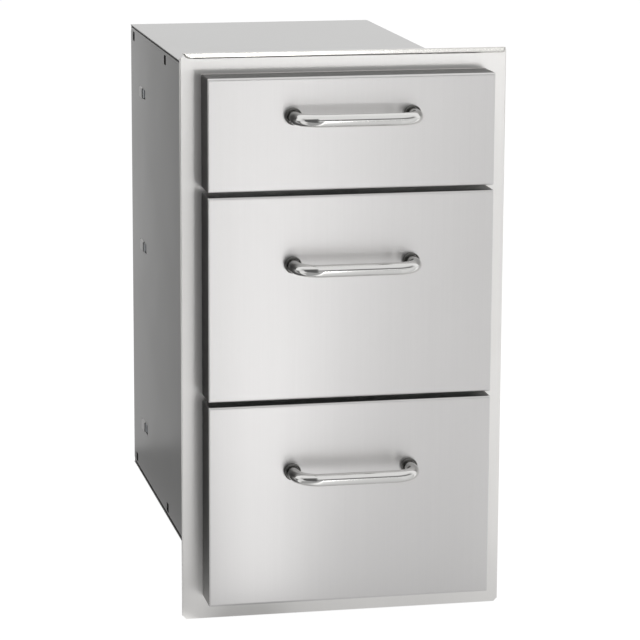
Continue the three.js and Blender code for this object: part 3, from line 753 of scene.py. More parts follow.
# The fronts get painted shade on their side faces and a painted highlight along their edges.
steel("front_steel", (0.73, 0.72, 0.715), (700, 9, 9), (0.06, 0.01), (4, 0.04, 0.015), 0.3,
      (0.0016, 0.34), 1e-6, brushed=0.5, turn=0.25, side=-0.72)
steel("frame_steel", (0.92, 0.908, 0.89), (700, 9, 9), (0.06, 0.01), (6, 0.05, 0.015), 0.3,
      (0.0009, 0.16), 5e-7, brushed=0.65)
steel("strip_steel", (0.72, 0.71, 0.68), (9, 900, 900), (0.04, 0.04), (9, 0.04, 0.05), 0.15,
      (0.0004, 0.05), 1e-6)
for name, colour, edge_wear_and_shade in (
    ("box_steel", (0.525, 0.522, 0.515), 0.1),
    # Painted shade: the cap panels' edges are darkened.
    ("cap_steel", (0.525, 0.522, 0.515), -0.75),
    # Painted light: the raised straps are lighter than the wall they are lanced from.
    ("strap_steel", (0.68, 0.675, 0.665), 0.1),
):
    steel(name, colour, (60, 55, 3), (0.1, 0.08), (11, 0.1, 0.06), 0.32, (0.0012, edge_wear_and_shade), 4e-6)
steel("tray_steel", (0.64, 0.64, 0.63), (400, 10, 60), (0.08, 0.1), (9, 0.1, 0.12), 0.34,
      (0.001, 0.12), 6e-6)
steel("collar_steel", (0.15, 0.148, 0.142), (200, 200, 200), (0.06, 0.06), (90, 0.1, 0.06), 0.16,
      (0.0006, 2.2), 1.5e-6)
steel("handle_steel", (0.77, 0.765, 0.75), (30, 260, 260), (0.03, 0.05), (30, 0.03, 0.05), 0.085,
      (0.0006, 0.05), 1.5e-6)
steel("slide_steel", (0.55, 0.565, 0.58), (260, 12, 260), (0.12, 0.12), (40, 0.12, 0.14), 0.36,
      (0.0007, 0.16), 8e-6)
steel("cage_steel", (0.46, 0.465, 0.47), (160, 40, 160), (0.14, 0.12), (60, 0.16, 0.12), 0.44,
      (0.0004, 0.16), 1e-5)
steel("ball_steel", (0.72, 0.72, 0.73), (500, 500, 500), (0.04, 0.04), (200, 0.05, 0.06), 0.1,
      (0.0002, 0), 1e-6)
steel("screw_steel", (0.56, 0.56, 0.555), (900, 900, 900), (0.16, 0.14), (160, 0.14, 0.12), 0.3,
      (0.0003, 0.2), 4e-6)
print("steel finishes:", sorted(finishes))

# %% Rubber of the bump stops
material, tree = new_material("bumper_rubber")
place = wire(tree, "ShaderNodeTexCoord")
specks = wire(tree, "ShaderNodeTexNoise", {"Scale": 900.0, "Detail": 3.0},
              {"Vector": place.outputs["Object"]})
shade = wire(tree, "ShaderNodeMix", {"A": (0.018, 0.018, 0.019, 1), "B": (0.045, 0.044, 0.043, 1)},
             {"Factor": specks.outputs[0]}, data_type="RGBA")
dull = wire(tree, "ShaderNodeMapRange", {"To Min": 0.55, "To Max": 0.85}, {"Value": specks.outputs[0]})
relief = wire(tree, "ShaderNodeBump", {"Strength": 0.6, "Distance": 0.00005}, {"Height": specks.outputs[0]})
body = wire(tree, "ShaderNodeBsdfPrincipled", links={
    "Base Color": shade.outputs["Result"], "Roughness": dull.outputs["Result"], "Normal": relief.outputs[0],
})
wire(tree, "ShaderNodeOutputMaterial", links={"Surface": body.outputs[0]})
finishes["bumper_rubber"] = material
print("rubber finish:", material.name)

# %% Every piece gets a finish, a body and the CAD nodes that it stands for
fit = {}


def settle(piece, body, finish, *nodes):
    """Gives a piece its finish and its body, hides the CAD nodes that it replaces and prints how far it
    lies off their box.
    """
    piece.data.materials.clear()
    piece.data.materials.append(finishes[finish])
    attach(piece, body)
    note = ""
    if nodes:
        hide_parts(*nodes)
        points = [v.co / MM for v in piece.data.vertices]
        off = max(
            abs(choose(point[i] for point in points) - corner[i])
            for choose, corner in zip((min, max), box_mm(*nodes)) for i in range(3)
        )
        fit[piece.name] = off
        note = f", {off:.2f} mm off the CAD box"
    print(f"{piece.name}: {len(piece.data.polygons)} faces{note}")


# %% [markdown]
# ## The face frame
# The frame is one flat sheet with three openings. Its edges are folded flat onto the back, so that no sharp
# edge meets the hand: a flattened fold is a turn of 180 degrees round a little more than half the sheet.
# Along the top there is a narrow bright strip whose ends are cut round. It has a finish of its own, so it
# is made as a piece of its own, in front of the sheet.

# %% Face frame
frame_low, frame_high = box_mm("face_frame")
FRAME_SHEET = 1.4
FRAME_FRONT = -3
FRAME_FOLD = 0.8
FRAME_HEM = 10.5
TOP_HEM = 3
HEM_TAPER = 0.9
TOP_CLIPS = (3.4, 0.8)
FOOT_CLIP = 2
OPENING_ROUND = 1
OPENING_HALF = 151
FRONT_COVER = 13
on_face = on_plane("y", FRAME_FRONT + FRAME_SHEET / 2)
fold_reach = FRAME_FOLD + FRAME_SHEET / 2
left_fold = frame_low.x + fold_reach
right_fold = frame_high.x - fold_reach
foot_fold = frame_low.z + fold_reach
top_fold = frame_high.z - fold_reach
pan_boxes = {key: box_mm(key + "_front_skin") for key in DRAWERS}
outline = [
    (left_fold + FOOT_CLIP, foot_fold), (right_fold - FOOT_CLIP, foot_fold),
    (right_fold, foot_fold + FOOT_CLIP), (right_fold, top_fold - TOP_CLIPS[1]),
    (right_fold - TOP_CLIPS[1], top_fold), (left_fold + TOP_CLIPS[0], top_fold),
    (left_fold, top_fold - TOP_CLIPS[0]), (left_fold, foot_fold + FOOT_CLIP),
]
openings = [
    rectangle((-OPENING_HALF, OPENING_HALF), (low.z + FRONT_COVER, high.z - FRONT_COVER), OPENING_ROUND)
    for low, high in pan_boxes.values()
]
bm = bmesh.new()
blank(bm, outline, on_face, openings)
for start, end, out, hem, taper in (
    (7, 6, -X, FRAME_HEM, cut_back(0, HEM_TAPER)),
    (2, 3, X, FRAME_HEM, cut_back(0, HEM_TAPER)),
    (0, 1, -Z, FRAME_HEM, cut_back(0, HEM_TAPER)),
    (5, 4, Z, TOP_HEM, None),
):
    fold(bm, on_face(*outline[start]), on_face(*outline[end]), out, Y, [(180, FRAME_FOLD, hem)], taper)
settle(sheet_piece("face_frame_sheet", bm, FRAME_SHEET), "cabinet", "frame_steel", "face_frame")

# %% Top strip of the frame
def drawn_in(ring, distance):
    """The ring with each edge moved inwards by a distance. The ring runs anticlockwise."""
    moved = []
    for before, point, after in zip(ring[-1:] + ring[:-1], ring, ring[1:] + ring[:1]):
        arriving = (Vector(point) - Vector(before)).normalized()
        leaving = (Vector(after) - Vector(point)).normalized()
        one = Vector((-arriving.y, arriving.x))
        two = Vector((-leaving.y, leaving.x))
        moved.append(tuple(Vector(point) + (one + two) * (distance / (1 + one.dot(two)))))
    return moved


def stacked(bm, layers):
    """A closed solid through rings at several depths, filled at both ends."""
    for ring, depth in (layers[0], layers[-1]):
        blank(bm, ring, on_plane("y", depth))
    for (ring, depth), (next_ring, next_depth) in zip(layers, layers[1:]):
        one = [bm.verts.new((x, depth, z)) for x, z in ring]
        two = [bm.verts.new((x, next_depth, z)) for x, z in next_ring]
        for i in range(len(ring)):
            j = (i + 1) % len(ring)
            bm.faces.new([one[i], one[j], two[j], two[i]])


STRIP_HEIGHT = 6.3
STRIP_FRONT = -4.5
STRIP_BACK = -3.02
END_SWEEPS = ((3.4, 9.6, 70), (1.2, 5.2, 55))
END_STEPS = 6
STRIP_ROLL = (1.9, 1.3)
ROLL_STEPS = 7
TOP_SHARE = 0.35
TOP_NEAR = 0.1


def strip_end(side, inset, radius, sweep):
    """The curved end of the strip, from its upper corner down to its lower edge."""
    low = frame_high.z - STRIP_HEIGHT
    tangent = side * (frame_high.x - inset - radius * math.sin(math.radians(sweep)))
    angles = [math.radians(sweep * (1 - i / END_STEPS)) for i in range(END_STEPS + 1)]
    points = [(tangent + side * radius * math.sin(a), low + radius * (1 - math.cos(a))) for a in angles]
    return [(x, min(z, frame_high.z)) for x, z in points]


def strip_ring(inset):
    """The strip's outline, drawn in by the inset, but along its upper edge by only a share of it."""
    return [
        (x, z + (1 - TOP_SHARE) * inset if before > frame_high.z - TOP_NEAR else z)
        for (x, z), (_, before) in zip(drawn_in(ring, inset), ring)
    ]


left_end = strip_end(-1, *END_SWEEPS[0])
right_end = strip_end(1, *END_SWEEPS[1])
ring = left_end + right_end[::-1] + [(right_end[0][0], frame_high.z)]
layers = [(strip_ring(0), STRIP_BACK)]
for step in range(ROLL_STEPS + 1):
    turn = math.radians(90 * step / ROLL_STEPS)
    inset = STRIP_ROLL[0] * (1 - math.cos(turn))
    layers.append((strip_ring(inset), STRIP_FRONT + STRIP_ROLL[1] * (1 - math.sin(turn))))
bm = bmesh.new()
stacked(bm, layers)
settle(solid_piece("face_frame_top_strip", bm), "cabinet", "strip_steel")

# %% [markdown]
# ## The box
# The box is thinner sheet than the frame, left with the dull finish that it came with from the mill. Each
# side panel is one blank with a flange on all four edges, locating slots along its top and bottom, and a
# lanced bridge at the rear of each slide: a strap that is cut free on both sides and pressed outwards, so
# that the slide's hook can pass behind it.

# %% Side panels
BOX_SHEET = 1.2
BOX_HALF = 154
BOX_BEND = 2.1
BOX_FLANGE = 12
FRONT_EXTRA = 0.6
BOX_FOLD = [(90, BOX_BEND, BOX_FLANGE - BOX_BEND)]
BOX_FRONT_FOLD = [(90, BOX_BEND, BOX_FLANGE - BOX_BEND + FRONT_EXTRA)]
SEAM = 2.6
NOTCH = 1.2
SLOT_LENGTH = 15
SLOT_HEIGHT = 11.5
SLOT_INSET = 0.5
SLOT_ROUND = 1
SLOT_PLACES = (38, 290.15, 542.3)
WINDOW = (448, 498)
WINDOW_HALF = 6
slide_heights = {key: sum(v.z for v in box_mm(key + "_left_drawer_member")) / 2 for key in DRAWERS}


def side_panel(name):
    """A wall with its slots and windows, and a flange on each edge."""
    side = SIDES[name]
    low, high = box_mm(name + "_side_panel")
    half_sheet = BOX_SHEET / 2
    ends = (-half_sheet + BOX_BEND, high.y - half_sheet - BOX_BEND)
    levels = (low.z + half_sheet + BOX_BEND + SEAM, high.z - half_sheet - BOX_BEND - SEAM)
    upper = (levels[1] - SLOT_INSET - SLOT_HEIGHT, levels[1] - SLOT_INSET)
    lower = (levels[0] + SLOT_INSET, levels[0] + SLOT_INSET + SLOT_HEIGHT)
    holes = []
    for y in SLOT_PLACES:
        along = (y - SLOT_LENGTH / 2, y + SLOT_LENGTH / 2)
        holes += [rectangle(along, upper, SLOT_ROUND), rectangle(along, lower, SLOT_ROUND)]
    for height in slide_heights.values():
        holes.append(rectangle(WINDOW, (height - WINDOW_HALF, height + WINDOW_HALF), SLOT_ROUND))
    inward = -side * X
    bm = folded(notched(ends, levels, NOTCH), on_plane("x", side * (BOX_HALF - half_sheet)), [
        (0, -Z, inward, BOX_FOLD),
        (6, Z, inward, BOX_FOLD),
        (9, -Y, -inward, BOX_FRONT_FOLD),
        (3, Y, inward, BOX_FOLD),
    ], holes)
    return sheet_piece(name + "_side_sheet", bm, BOX_SHEET)


STRAP = (469, 490)
STRAP_HALF = 5
STRAP_RISE = 1.6
STRAP_SLOPE = 50
STRAP_BEND = 0.8
STRAP_FOOT = 0.8
STRAP_EDGE = 0.3


def straps(name):
    """The raised straps of one panel. Each slopes back into the wall above and below its window."""
    side = SIDES[name]
    raised = on_plane("x", side * (BOX_HALF - BOX_SHEET / 2 + STRAP_RISE))
    angle = math.radians(STRAP_SLOPE)
    slope = (STRAP_RISE - 2 * STRAP_BEND * (1 - math.cos(angle))) / math.sin(angle)
    folds = [(STRAP_SLOPE, STRAP_BEND, slope), (-STRAP_SLOPE, STRAP_BEND, STRAP_FOOT)]
    bm = bmesh.new()
    for height in slide_heights.values():
        ring = rectangle(STRAP, (height - STRAP_HALF, height + STRAP_HALF))
        corners = [raised(*point) for point in ring]
        bm.faces.new([bm.verts.new(corner) for corner in corners])
        fold(bm, corners[0], corners[1], -Z, -side * X, folds)
        fold(bm, corners[2], corners[3], Z, -side * X, folds)
    return sheet_piece(name + "_side_straps", bm, BOX_SHEET, STRAP_EDGE)


for name in SIDES:
    settle(side_panel(name), "cabinet", "box_steel", name + "_side_panel")
    settle(straps(name), "cabinet", "strap_steel")

# %% [markdown]
# ## Top, bottom and back
# The top and bottom panels lie on the side panels' flanges. Their front edge turns away from the box
# behind the frame and their rear edge turns over the back. Where the top panel meets the round shoulder of
# a side panel there is a narrow dark seam. The shapes make it, and painted shade deepens it: a darker
# colour along the panel's edges.

# %% Top and bottom panels
def cap_panel(node, up):
    """The top panel, where up is 1, or the bottom one, where it is -1."""
    low, high = box_mm(node)
    face = low.z + BOX_FLANGE if up > 0 else high.z - BOX_FLANGE
    ends = (-BOX_SHEET / 2 + BOX_BEND, high.y - BOX_SHEET / 2 - BOX_BEND)
    bm = folded(notched((-BOX_HALF, BOX_HALF), ends, NOTCH), on_plane("z", face - up * BOX_SHEET / 2), [
        (0, -Y, up * Z, BOX_FRONT_FOLD),
        (6, Y, -up * Z, BOX_FOLD),
    ])
    return sheet_piece(node + "_sheet", bm, BOX_SHEET)


settle(cap_panel("top_panel", 1), "cabinet", "cap_steel", "top_panel")
settle(cap_panel("bottom_panel", -1), "cabinet", "cap_steel", "bottom_panel")

# %% Back panel and divider rails
def channel(ends, levels, place, up, folds, holes=(), draw_in=None):
    """A web with a flange below and one above, both turned to the side that up names."""
    flanges = [(0, -Z, up, folds), (2, Z, up, folds)]
    return folded(rectangle(ends, levels), place, flanges, holes, draw_in)


BACK_ROUND = 3
RAIL_HOLES = (-112, -56, 0, 56, 112)
RAIL_HOLE_SIZE = (8, 4, 3.9)
low, high = box_mm("back_panel")
back_ring = rectangle((low.x, high.x), (low.z, high.z), BACK_ROUND)
bm = folded(back_ring, on_plane("y", (low.y + high.y) / 2), [])
settle(sheet_piece("back_sheet", bm, BOX_SHEET), "cabinet", "box_steel", "back_panel")


def divider_rail(node):
    """A channel, open to the rear, with holes that make it lighter."""
    low, high = box_mm(node)
    half_sheet = BOX_SHEET / 2
    levels = (low.z + half_sheet + BOX_BEND, high.z - half_sheet - BOX_BEND)
    holes = [around(x, sum(levels) / 2, *RAIL_HOLE_SIZE) for x in RAIL_HOLES]
    folds = [(90, BOX_BEND, high.y - low.y - half_sheet - BOX_BEND)]
    bm = channel((low.x, high.x), levels, on_plane("y", low.y + half_sheet), Y, folds, holes)
    return sheet_piece(node + "_sheet", bm, BOX_SHEET)


for node in ("lower_divider_rail", "upper_divider_rail"):
    settle(divider_rail(node), "cabinet", "box_steel", node)

# %% [markdown]
# ## The drawer fronts
# Each front is a deep pan that stands proud of the frame. Its long edges are bent with a generous radius,
# which shows as a soft bright line, and its ends are welded and ground to a small one. A box without a
# rear face is drawn, each edge carries its own bevel weight, and the Solidify modifier then works inwards.
# Two lips at the rear take the liner.

# %% Front skins
FRONT_SHEET = 1.2
FRONT_BEND = 3.0
BEND_SEGMENTS = 6
GROUND_EDGE = 1.3
LIP = 12
LIP_TAPER = 2
LONG_EDGE = 100


def front_skin(key):
    """A pan with a bend or a ground edge at each corner, and two lips at the rear."""
    low, high = pan_boxes[key]
    bm = bmesh.new()
    c = {
        (i, j, k): bm.verts.new((x, y, z))
        for i, x in enumerate((low.x, high.x))
        for j, y in enumerate((low.y, high.y))
        for k, z in enumerate((low.z, high.z))
    }
    lip = {
        (i, k): bm.verts.new((x, high.y, z))
        for i, x in enumerate((low.x + LIP_TAPER, high.x - LIP_TAPER))
        for k, z in enumerate((low.z + LIP, high.z - LIP))
    }
    for corners in (
        (c[0, 0, 0], c[1, 0, 0], c[1, 0, 1], c[0, 0, 1]),
        (c[0, 1, 0], c[1, 1, 0], c[1, 0, 0], c[0, 0, 0]),
        (c[0, 0, 1], c[1, 0, 1], c[1, 1, 1], c[0, 1, 1]),
        (c[0, 1, 0], c[0, 0, 0], c[0, 0, 1], c[0, 1, 1]),
        (c[1, 0, 0], c[1, 1, 0], c[1, 1, 1], c[1, 0, 1]),
        (lip[0, 0], lip[1, 0], c[1, 1, 0], c[0, 1, 0]),
        (c[0, 1, 1], c[1, 1, 1], lip[1, 1], lip[0, 1]),
    ):
        bm.faces.new(corners)
    weight = bm.edges.layers.float.new("bevel_weight_edge")
    for edge in bm.edges:
        a, b = (v.co for v in edge.verts)
        if len(edge.link_faces) == 2:
            edge[weight] = 1 if abs(a.x - b.x) > LONG_EDGE else GROUND_EDGE / FRONT_BEND
    skin = new_object(key + "_front_pan", bm)
    bend = skin.modifiers.new("bends", "BEVEL")
    bend.limit_method = "WEIGHT"
    bend.width = FRONT_BEND * MM
    bend.segments = BEND_SEGMENTS
    thicken(skin, FRONT_SHEET, offset=-1)
    break_edges(skin)
    return freeze(skin)


for key in DRAWERS:
    settle(front_skin(key), key + "_drawer", "front_steel", key + "_front_skin")

# %% Front liners
LINER_BEND = 2.4


def front_liner(key):
    """The plate that closes a pan, with a flange above and below that points forward."""
    low, high = box_mm(key + "_front_liner")
    half_sheet = FRONT_SHEET / 2
    levels = (low.z + half_sheet + LINER_BEND, high.z - half_sheet - LINER_BEND)
    folds = [(90, LINER_BEND, high.y - low.y - half_sheet - LINER_BEND)]
    bm = channel((low.x, high.x), levels, on_plane("y", high.y - half_sheet), -Y, folds)
    return sheet_piece(key + "_front_liner_sheet", bm, FRONT_SHEET)


for key in DRAWERS:
    settle(front_liner(key), key + "_drawer", "tray_steel", key + "_front_liner")

# %% [markdown]
# ## The handles
# Each handle is a length of polished tube, bent into a bow. A tube that follows a path is a rule, so
# Geometry Nodes make it: the four corners of the path become a curve, Fillet Curve bends its two inner
# corners, and Curve to Mesh carries a circle along it. The tree's inputs are named, and they are set by
# each socket's identifier.

# %% Geometry Nodes: a bent tube
def new_tree(name, inputs):
    """A Geometry Nodes tree with a mesh in, a mesh out and named inputs for its sizes."""
    tree = bpy.data.node_groups.new(name, "GeometryNodeTree")
    tree.interface.new_socket("Geometry", in_out="INPUT", socket_type="NodeSocketGeometry")
    tree.interface.new_socket("Geometry", in_out="OUTPUT", socket_type="NodeSocketGeometry")
    for label, kind in inputs:
        tree.interface.new_socket(label, in_out="INPUT", socket_type="NodeSocket" + kind)
    return tree, tree.nodes.new("NodeGroupInput"), tree.nodes.new("NodeGroupOutput")


def finish_tree(tree, made, given, result):
    """Makes copies real, gives the mesh its material and ends the tree."""
    real = wire(tree, "GeometryNodeRealizeInstances", links={"Geometry": made})
    finished = wire(tree, "GeometryNodeSetMaterial", links={
        "Geometry": real.outputs[0], "Material": given.outputs["Finish"],
    })
    tree.links.new(finished.outputs[0], result.inputs[0])
    print("tree", tree.name, "with", len(tree.nodes), "nodes")


def run_tree(piece, tree, values):
    """Runs a tree on a piece with its named inputs set, and keeps the result as a plain mesh."""
    modifier = piece.modifiers.new(tree.name, "NODES")
    modifier.node_group = tree
    for item in tree.interface.items_tree:
        if item.in_out == "INPUT" and item.name in values:
            modifier[item.identifier] = values[item.name]
    return freeze(piece)


tube_tree, given, result = new_tree("bent_tube", [
    ("Bend Radius", "Float"),
    ("Tube Radius", "Float"),
    ("Bend Points", "Int"),
    ("Round Points", "Int"),
    ("Finish", "Material"),
])
tree = tube_tree
path = wire(tree, "GeometryNodeMeshToCurve", links={"Mesh": given.outputs["Geometry"]})
bent = wire(tree, "GeometryNodeFilletCurve", {"Limit Radius": True}, {
    "Curve": path.outputs[0], "Count": given.outputs["Bend Points"], "Radius": given.outputs["Bend Radius"],
}, mode="POLY")
circle = wire(tree, "GeometryNodeCurvePrimitiveCircle", links={
    "Resolution": given.outputs["Round Points"], "Radius": given.outputs["Tube Radius"],
})
tube = wire(tree, "GeometryNodeCurveToMesh", {"Fill Caps": True}, {
    "Curve": bent.outputs[0], "Profile Curve": circle.outputs[0],
})
shaded = wire(tree, "GeometryNodeSetShadeSmooth", links={"Geometry": tube.outputs[0]})
finish_tree(tree, shaded.outputs[0], given, result)

# %% Handles
BEND_RADIUS = 25
TUBE_RADIUS = 7
BEND_POINTS = 20
ROUND_POINTS = 48


def handle(key):
    """A tube along four corners: from the front, out, across and back."""
    low, high = box_mm(key + "_handle")
    height = (low.z + high.z) / 2
    foot = high.x - TUBE_RADIUS
    bar = low.y + TUBE_RADIUS
    bm = bmesh.new()
    points = [(-foot, high.y), (-foot, bar), (foot, bar), (foot, high.y)]
    verts = [bm.verts.new((x, y, height)) for x, y in points]
    for a, b in zip(verts, verts[1:]):
        bm.edges.new((a, b))
    return run_tree(new_object(key + "_bow", bm), tube_tree, {
        "Bend Radius": BEND_RADIUS * MM,
        "Tube Radius": TUBE_RADIUS * MM,
        "Bend Points": BEND_POINTS,
        "Round Points": ROUND_POINTS,
        "Finish": finishes["handle_steel"],
    })


for key in DRAWERS:
    settle(handle(key), key + "_drawer", "handle_steel", key + "_handle")

# %% [markdown]
# A collar slides over each foot of a handle and hides its joint with the front. It is turned from bar, so
# it is a profile spun round an axis: a small flat against the front, a round nose and a bore that clears
# the tube.

# %% A turned shape
ON_AXIS = 1e-6


def turned(bm, profile, place, steps=48):
    """Spins a closed profile of (radius, height) points. place() puts (across, across, height) in space."""
    rings = []
    for i in range(steps):
        angle = 2 * math.pi * i / steps
        rings.append([
            bm.verts.new(place(r * math.cos(angle), r * math.sin(angle), h)) for r, h in profile
        ])
    for ring, following in zip(rings, rings[1:] + rings[:1]):
        for i in range(len(profile)):
            j = (i + 1) % len(profile)
            if max(profile[i][0], profile[j][0]) >= ON_AXIS:
                bm.faces.new([ring[i], ring[j], following[j], following[i]])


def arc(centre, radius, first, last, steps=6):
    """Points on an arc between two angles in degrees."""
    angles = [math.radians(first + (last - first) * i / steps) for i in range(steps + 1)]
    return [(centre[0] + radius * math.cos(a), centre[1] + radius * math.sin(a)) for a in angles]


FINE_EDGE = 0.08
COLLAR_NOSE = 1.6
COLLAR_CLEARANCE = 0.3
FOOT_CHAMFER = 0.3
BORE_CHAMFER = 0.2


def collar(key, name):
    """A turned ring round one foot of a handle."""
    low, high = box_mm(f"{key}_{name}_collar")
    outer = (high.z - low.z) / 2
    bore = TUBE_RADIUS + COLLAR_CLEARANCE
    length = high.y - low.y
    x = (low.x + high.x) / 2
    z = (low.z + high.z) / 2
    profile = [(bore, 0), (outer - FOOT_CHAMFER, 0), (outer, FOOT_CHAMFER)]
    profile += arc((outer - COLLAR_NOSE, length - COLLAR_NOSE), COLLAR_NOSE, 0, 90)
    profile += [(bore + BORE_CHAMFER, length), (bore, length - BORE_CHAMFER)]
    bm = bmesh.new()
    turned(bm, profile, lambda a, b, h: (x + a, high.y - h, z + b))
    return solid_piece(f"{key}_{name}_ring", bm, FINE_EDGE)


for key in DRAWERS:
    for name in SIDES:
        settle(collar(key, name), key + "_drawer", "collar_steel", f"{key}_{name}_collar")

# %% [markdown]
# ## The trays
# A tray is one blank: the floor, two sides with a flattened hem along the top, and a front wall whose ends
# turn back against the sides, where they are spot-welded. The back wall is a piece of its own. All of it
# shows once a drawer is pulled out.

# %% Trays
TRAY_SHEET = 1.2
TRAY_BEND = 1.8
HEM_FOLD = 0.75
HEM_LENGTH = 6.6
TAB_LENGTH = 14
TAB_GAP = 0.3
TAB_TRIM = (3, 0.35)
BACK_TRIM = (3, 0.3)
SIDE_START = 1
half_tray = TRAY_SHEET / 2


def tray(key):
    """The floor, its two sides, and the front wall with a tab at each end."""
    low, high = box_mm(key + "_tray")
    wall = high.x - half_tray
    floor_level = low.z + half_tray
    front_wall = low.y + half_tray
    fold_x = wall - TRAY_BEND
    fold_y = front_wall + TRAY_BEND
    top = high.z - half_tray - HEM_FOLD
    rise = top - floor_level - TRAY_BEND
    tab_fold = wall - TRAY_SHEET - TAB_GAP - TRAY_BEND
    hem = (180, HEM_FOLD, HEM_LENGTH)
    side_folds = [(90, TRAY_BEND, rise), hem]
    bm = folded([
        (-tab_fold, fold_y), (tab_fold, fold_y), (fold_x, fold_y + SIDE_START), (fold_x, high.y),
        (-fold_x, high.y), (-fold_x, fold_y + SIDE_START),
    ], on_plane("z", floor_level), [
        (2, X, Z, side_folds),
        (4, -X, Z, side_folds),
        (0, -Y, Z, [(90, TRAY_BEND, 0)]),
    ])
    on_front = on_plane("y", front_wall)
    ring = rectangle((-tab_fold, tab_fold), (floor_level + TRAY_BEND, top))
    folded(ring, on_front, [(2, Z, Y, [hem])], bm=bm)
    for start, end, out in ((1, 2, X), (3, 0, -X)):
        tab = [(90, TRAY_BEND, TAB_LENGTH)]
        fold(bm, on_front(*ring[start]), on_front(*ring[end]), out, Y, tab, cut_back(*TAB_TRIM))
    return sheet_piece(key + "_tray_sheet", bm, TRAY_SHEET)


def tray_back(key):
    """The rear wall, with a flange at each end that points forward."""
    low, high = box_mm(key + "_tray_back")
    wall = high.x - half_tray - TRAY_BEND
    folds = [(90, TRAY_BEND, high.y - low.y - half_tray - TRAY_BEND)]
    flanges = [(1, X, -Y, folds), (3, -X, -Y, folds)]
    ring = rectangle((-wall, wall), (low.z, high.z))
    bm = folded(ring, on_plane("y", high.y - half_tray), flanges, draw_in=cut_back(*BACK_TRIM))
    return sheet_piece(key + "_tray_back_sheet", bm, TRAY_SHEET)


for key in DRAWERS:
    settle(tray(key), key + "_drawer", "tray_steel", key + "_tray")
    settle(tray_back(key), key + "_drawer", "tray_steel", key + "_tray_back")

# %% [markdown]
# ## The slides
# A full-extension slide has three members that nest in each other. The cabinet member is fixed to the
# box, the drawer member to the tray, and the intermediate member runs between them on two rows of balls at
# each side. All are rolled channels with lips that keep the balls in, so one function folds them from a
# web, and only their sizes differ.

# %% Slide members
SLIDE_SHEET = 1.2
SLIDE_BEND = 1.2
SLIDE_LIP_BEND = 1.1
SLIDE_LIP = 1.1
SLIDE_EDGE = 0.15
SLIDE_TRIM = (8, 0.6)
SLIDE_ENDS = (2, 502)
SCREW_SHARES = (0.08, 0.47, 0.9)
SCREW_SLOT_SIZE = (4.5, 2.2, 2.1)
WALL_FACE = 152.5
DRAWER_FLANGE = 11.7
half_slide = SLIDE_SHEET / 2
screw_places = [SLIDE_ENDS[0] + share * (SLIDE_ENDS[1] - SLIDE_ENDS[0]) for share in SCREW_SHARES]


def member(key, name, kind, web, reach, opens):
    """A channel whose web is that far from the wall. opens is 1 towards the drawer and -1 away from it."""
    side = SIDES[name]
    low, high = box_mm(f"{key}_{name}_{kind}_member")
    height = slide_heights[key]
    flange = ((high.z - low.z) / 2 if opens > 0 else DRAWER_FLANGE) - half_slide
    levels = (height - flange + SLIDE_BEND, height + flange - SLIDE_BEND)
    wide = abs(reach - web) - half_slide - SLIDE_BEND - SLIDE_LIP_BEND
    folds = [(90, SLIDE_BEND, wide), (90 * opens, SLIDE_LIP_BEND, SLIDE_LIP)]
    slots = [around(y, height, *SCREW_SLOT_SIZE) for y in screw_places if kind != "intermediate"]
    web_plane = on_plane("x", side * (WALL_FACE - web))
    up = -side * opens * X
    return channel(SLIDE_ENDS, levels, web_plane, up, folds, slots, cut_back(*SLIDE_TRIM))


MEMBERS = (
    ("cabinet", 0.6, 8.8, 1, "cabinet"),
    ("intermediate", 3.2, 11.0, 1, "{key}_intermediates"),
    ("drawer", 12.1, 5.2, -1, "{key}_drawer"),
)
HOOK_START = 463.2
HOOK_END = 488.7
HOOK_OUT = 153.7
HOOK_HALF = 5.4
HOOK_BEND = 0.8


def hook(bm, side, height):
    """The tongue at the rear of a cabinet member, which passes through the window and behind the strap."""
    web = on_plane("x", side * (WALL_FACE - half_slide))
    foot = [web(HOOK_START + half_slide, height + z) for z in (-HOOK_HALF, HOOK_HALF)]
    rise = HOOK_OUT - WALL_FACE + half_slide - HOOK_BEND
    length = HOOK_END - HOOK_START - half_slide - HOOK_BEND
    fold(bm, foot[0], foot[1], side * X, Y, [(0, 0, rise), (90, HOOK_BEND, length)])


for key in DRAWERS:
    for name, side in SIDES.items():
        for kind, web, reach, opens, body in MEMBERS:
            node = f"{key}_{name}_{kind}_member"
            bm = member(key, name, kind, web, reach, opens)
            if kind == "cabinet":
                hook(bm, side, slide_heights[key])
            piece = sheet_piece(node + "_channel", bm, SLIDE_SHEET, SLIDE_EDGE)
            settle(piece, body.format(key=key), "slide_steel", node)

# %% Ball cages
CAGE_SHEET = 0.6
CAGE_BEND = 0.9
CAGE_TRIM = (3, 0.5)
CAGE_WINDOW_SIZE = (9, 5, 4)
BALL_RADIUS = 1.8
BALLS_PER_ROW = 4
BALL_PITCH = 44
CAGES = (("outer", 1.9, 5.1, 19.2), ("inner", 4.5, 8.1, 13.8))


def ball_places(node):
    """How far back each ball of a row lies."""
    low, high = box_mm(node)
    middle = (low.y + high.y) / 2
    return [middle + BALL_PITCH * (i - (BALLS_PER_ROW - 1) / 2) for i in range(BALLS_PER_ROW)]


def cage(node, side, height, web, balls, row):
    """A strip with a window at each pair of balls. web and balls are distances from the wall."""
    low, high = box_mm(node)
    levels = (height - row + CAGE_BEND, height + row - CAGE_BEND)
    windows = [around(y, height, *CAGE_WINDOW_SIZE) for y in ball_places(node)]
    folds = [(90, CAGE_BEND, balls + BALL_RADIUS + CAGE_SHEET - web - CAGE_BEND)]
    web_plane = on_plane("x", side * (WALL_FACE - web))
    trim = cut_back(*CAGE_TRIM)
    bm = channel((low.y, high.y), levels, web_plane, -side * X, folds, windows, trim)
    return sheet_piece(node + "_strip", bm, CAGE_SHEET, FINE_EDGE)


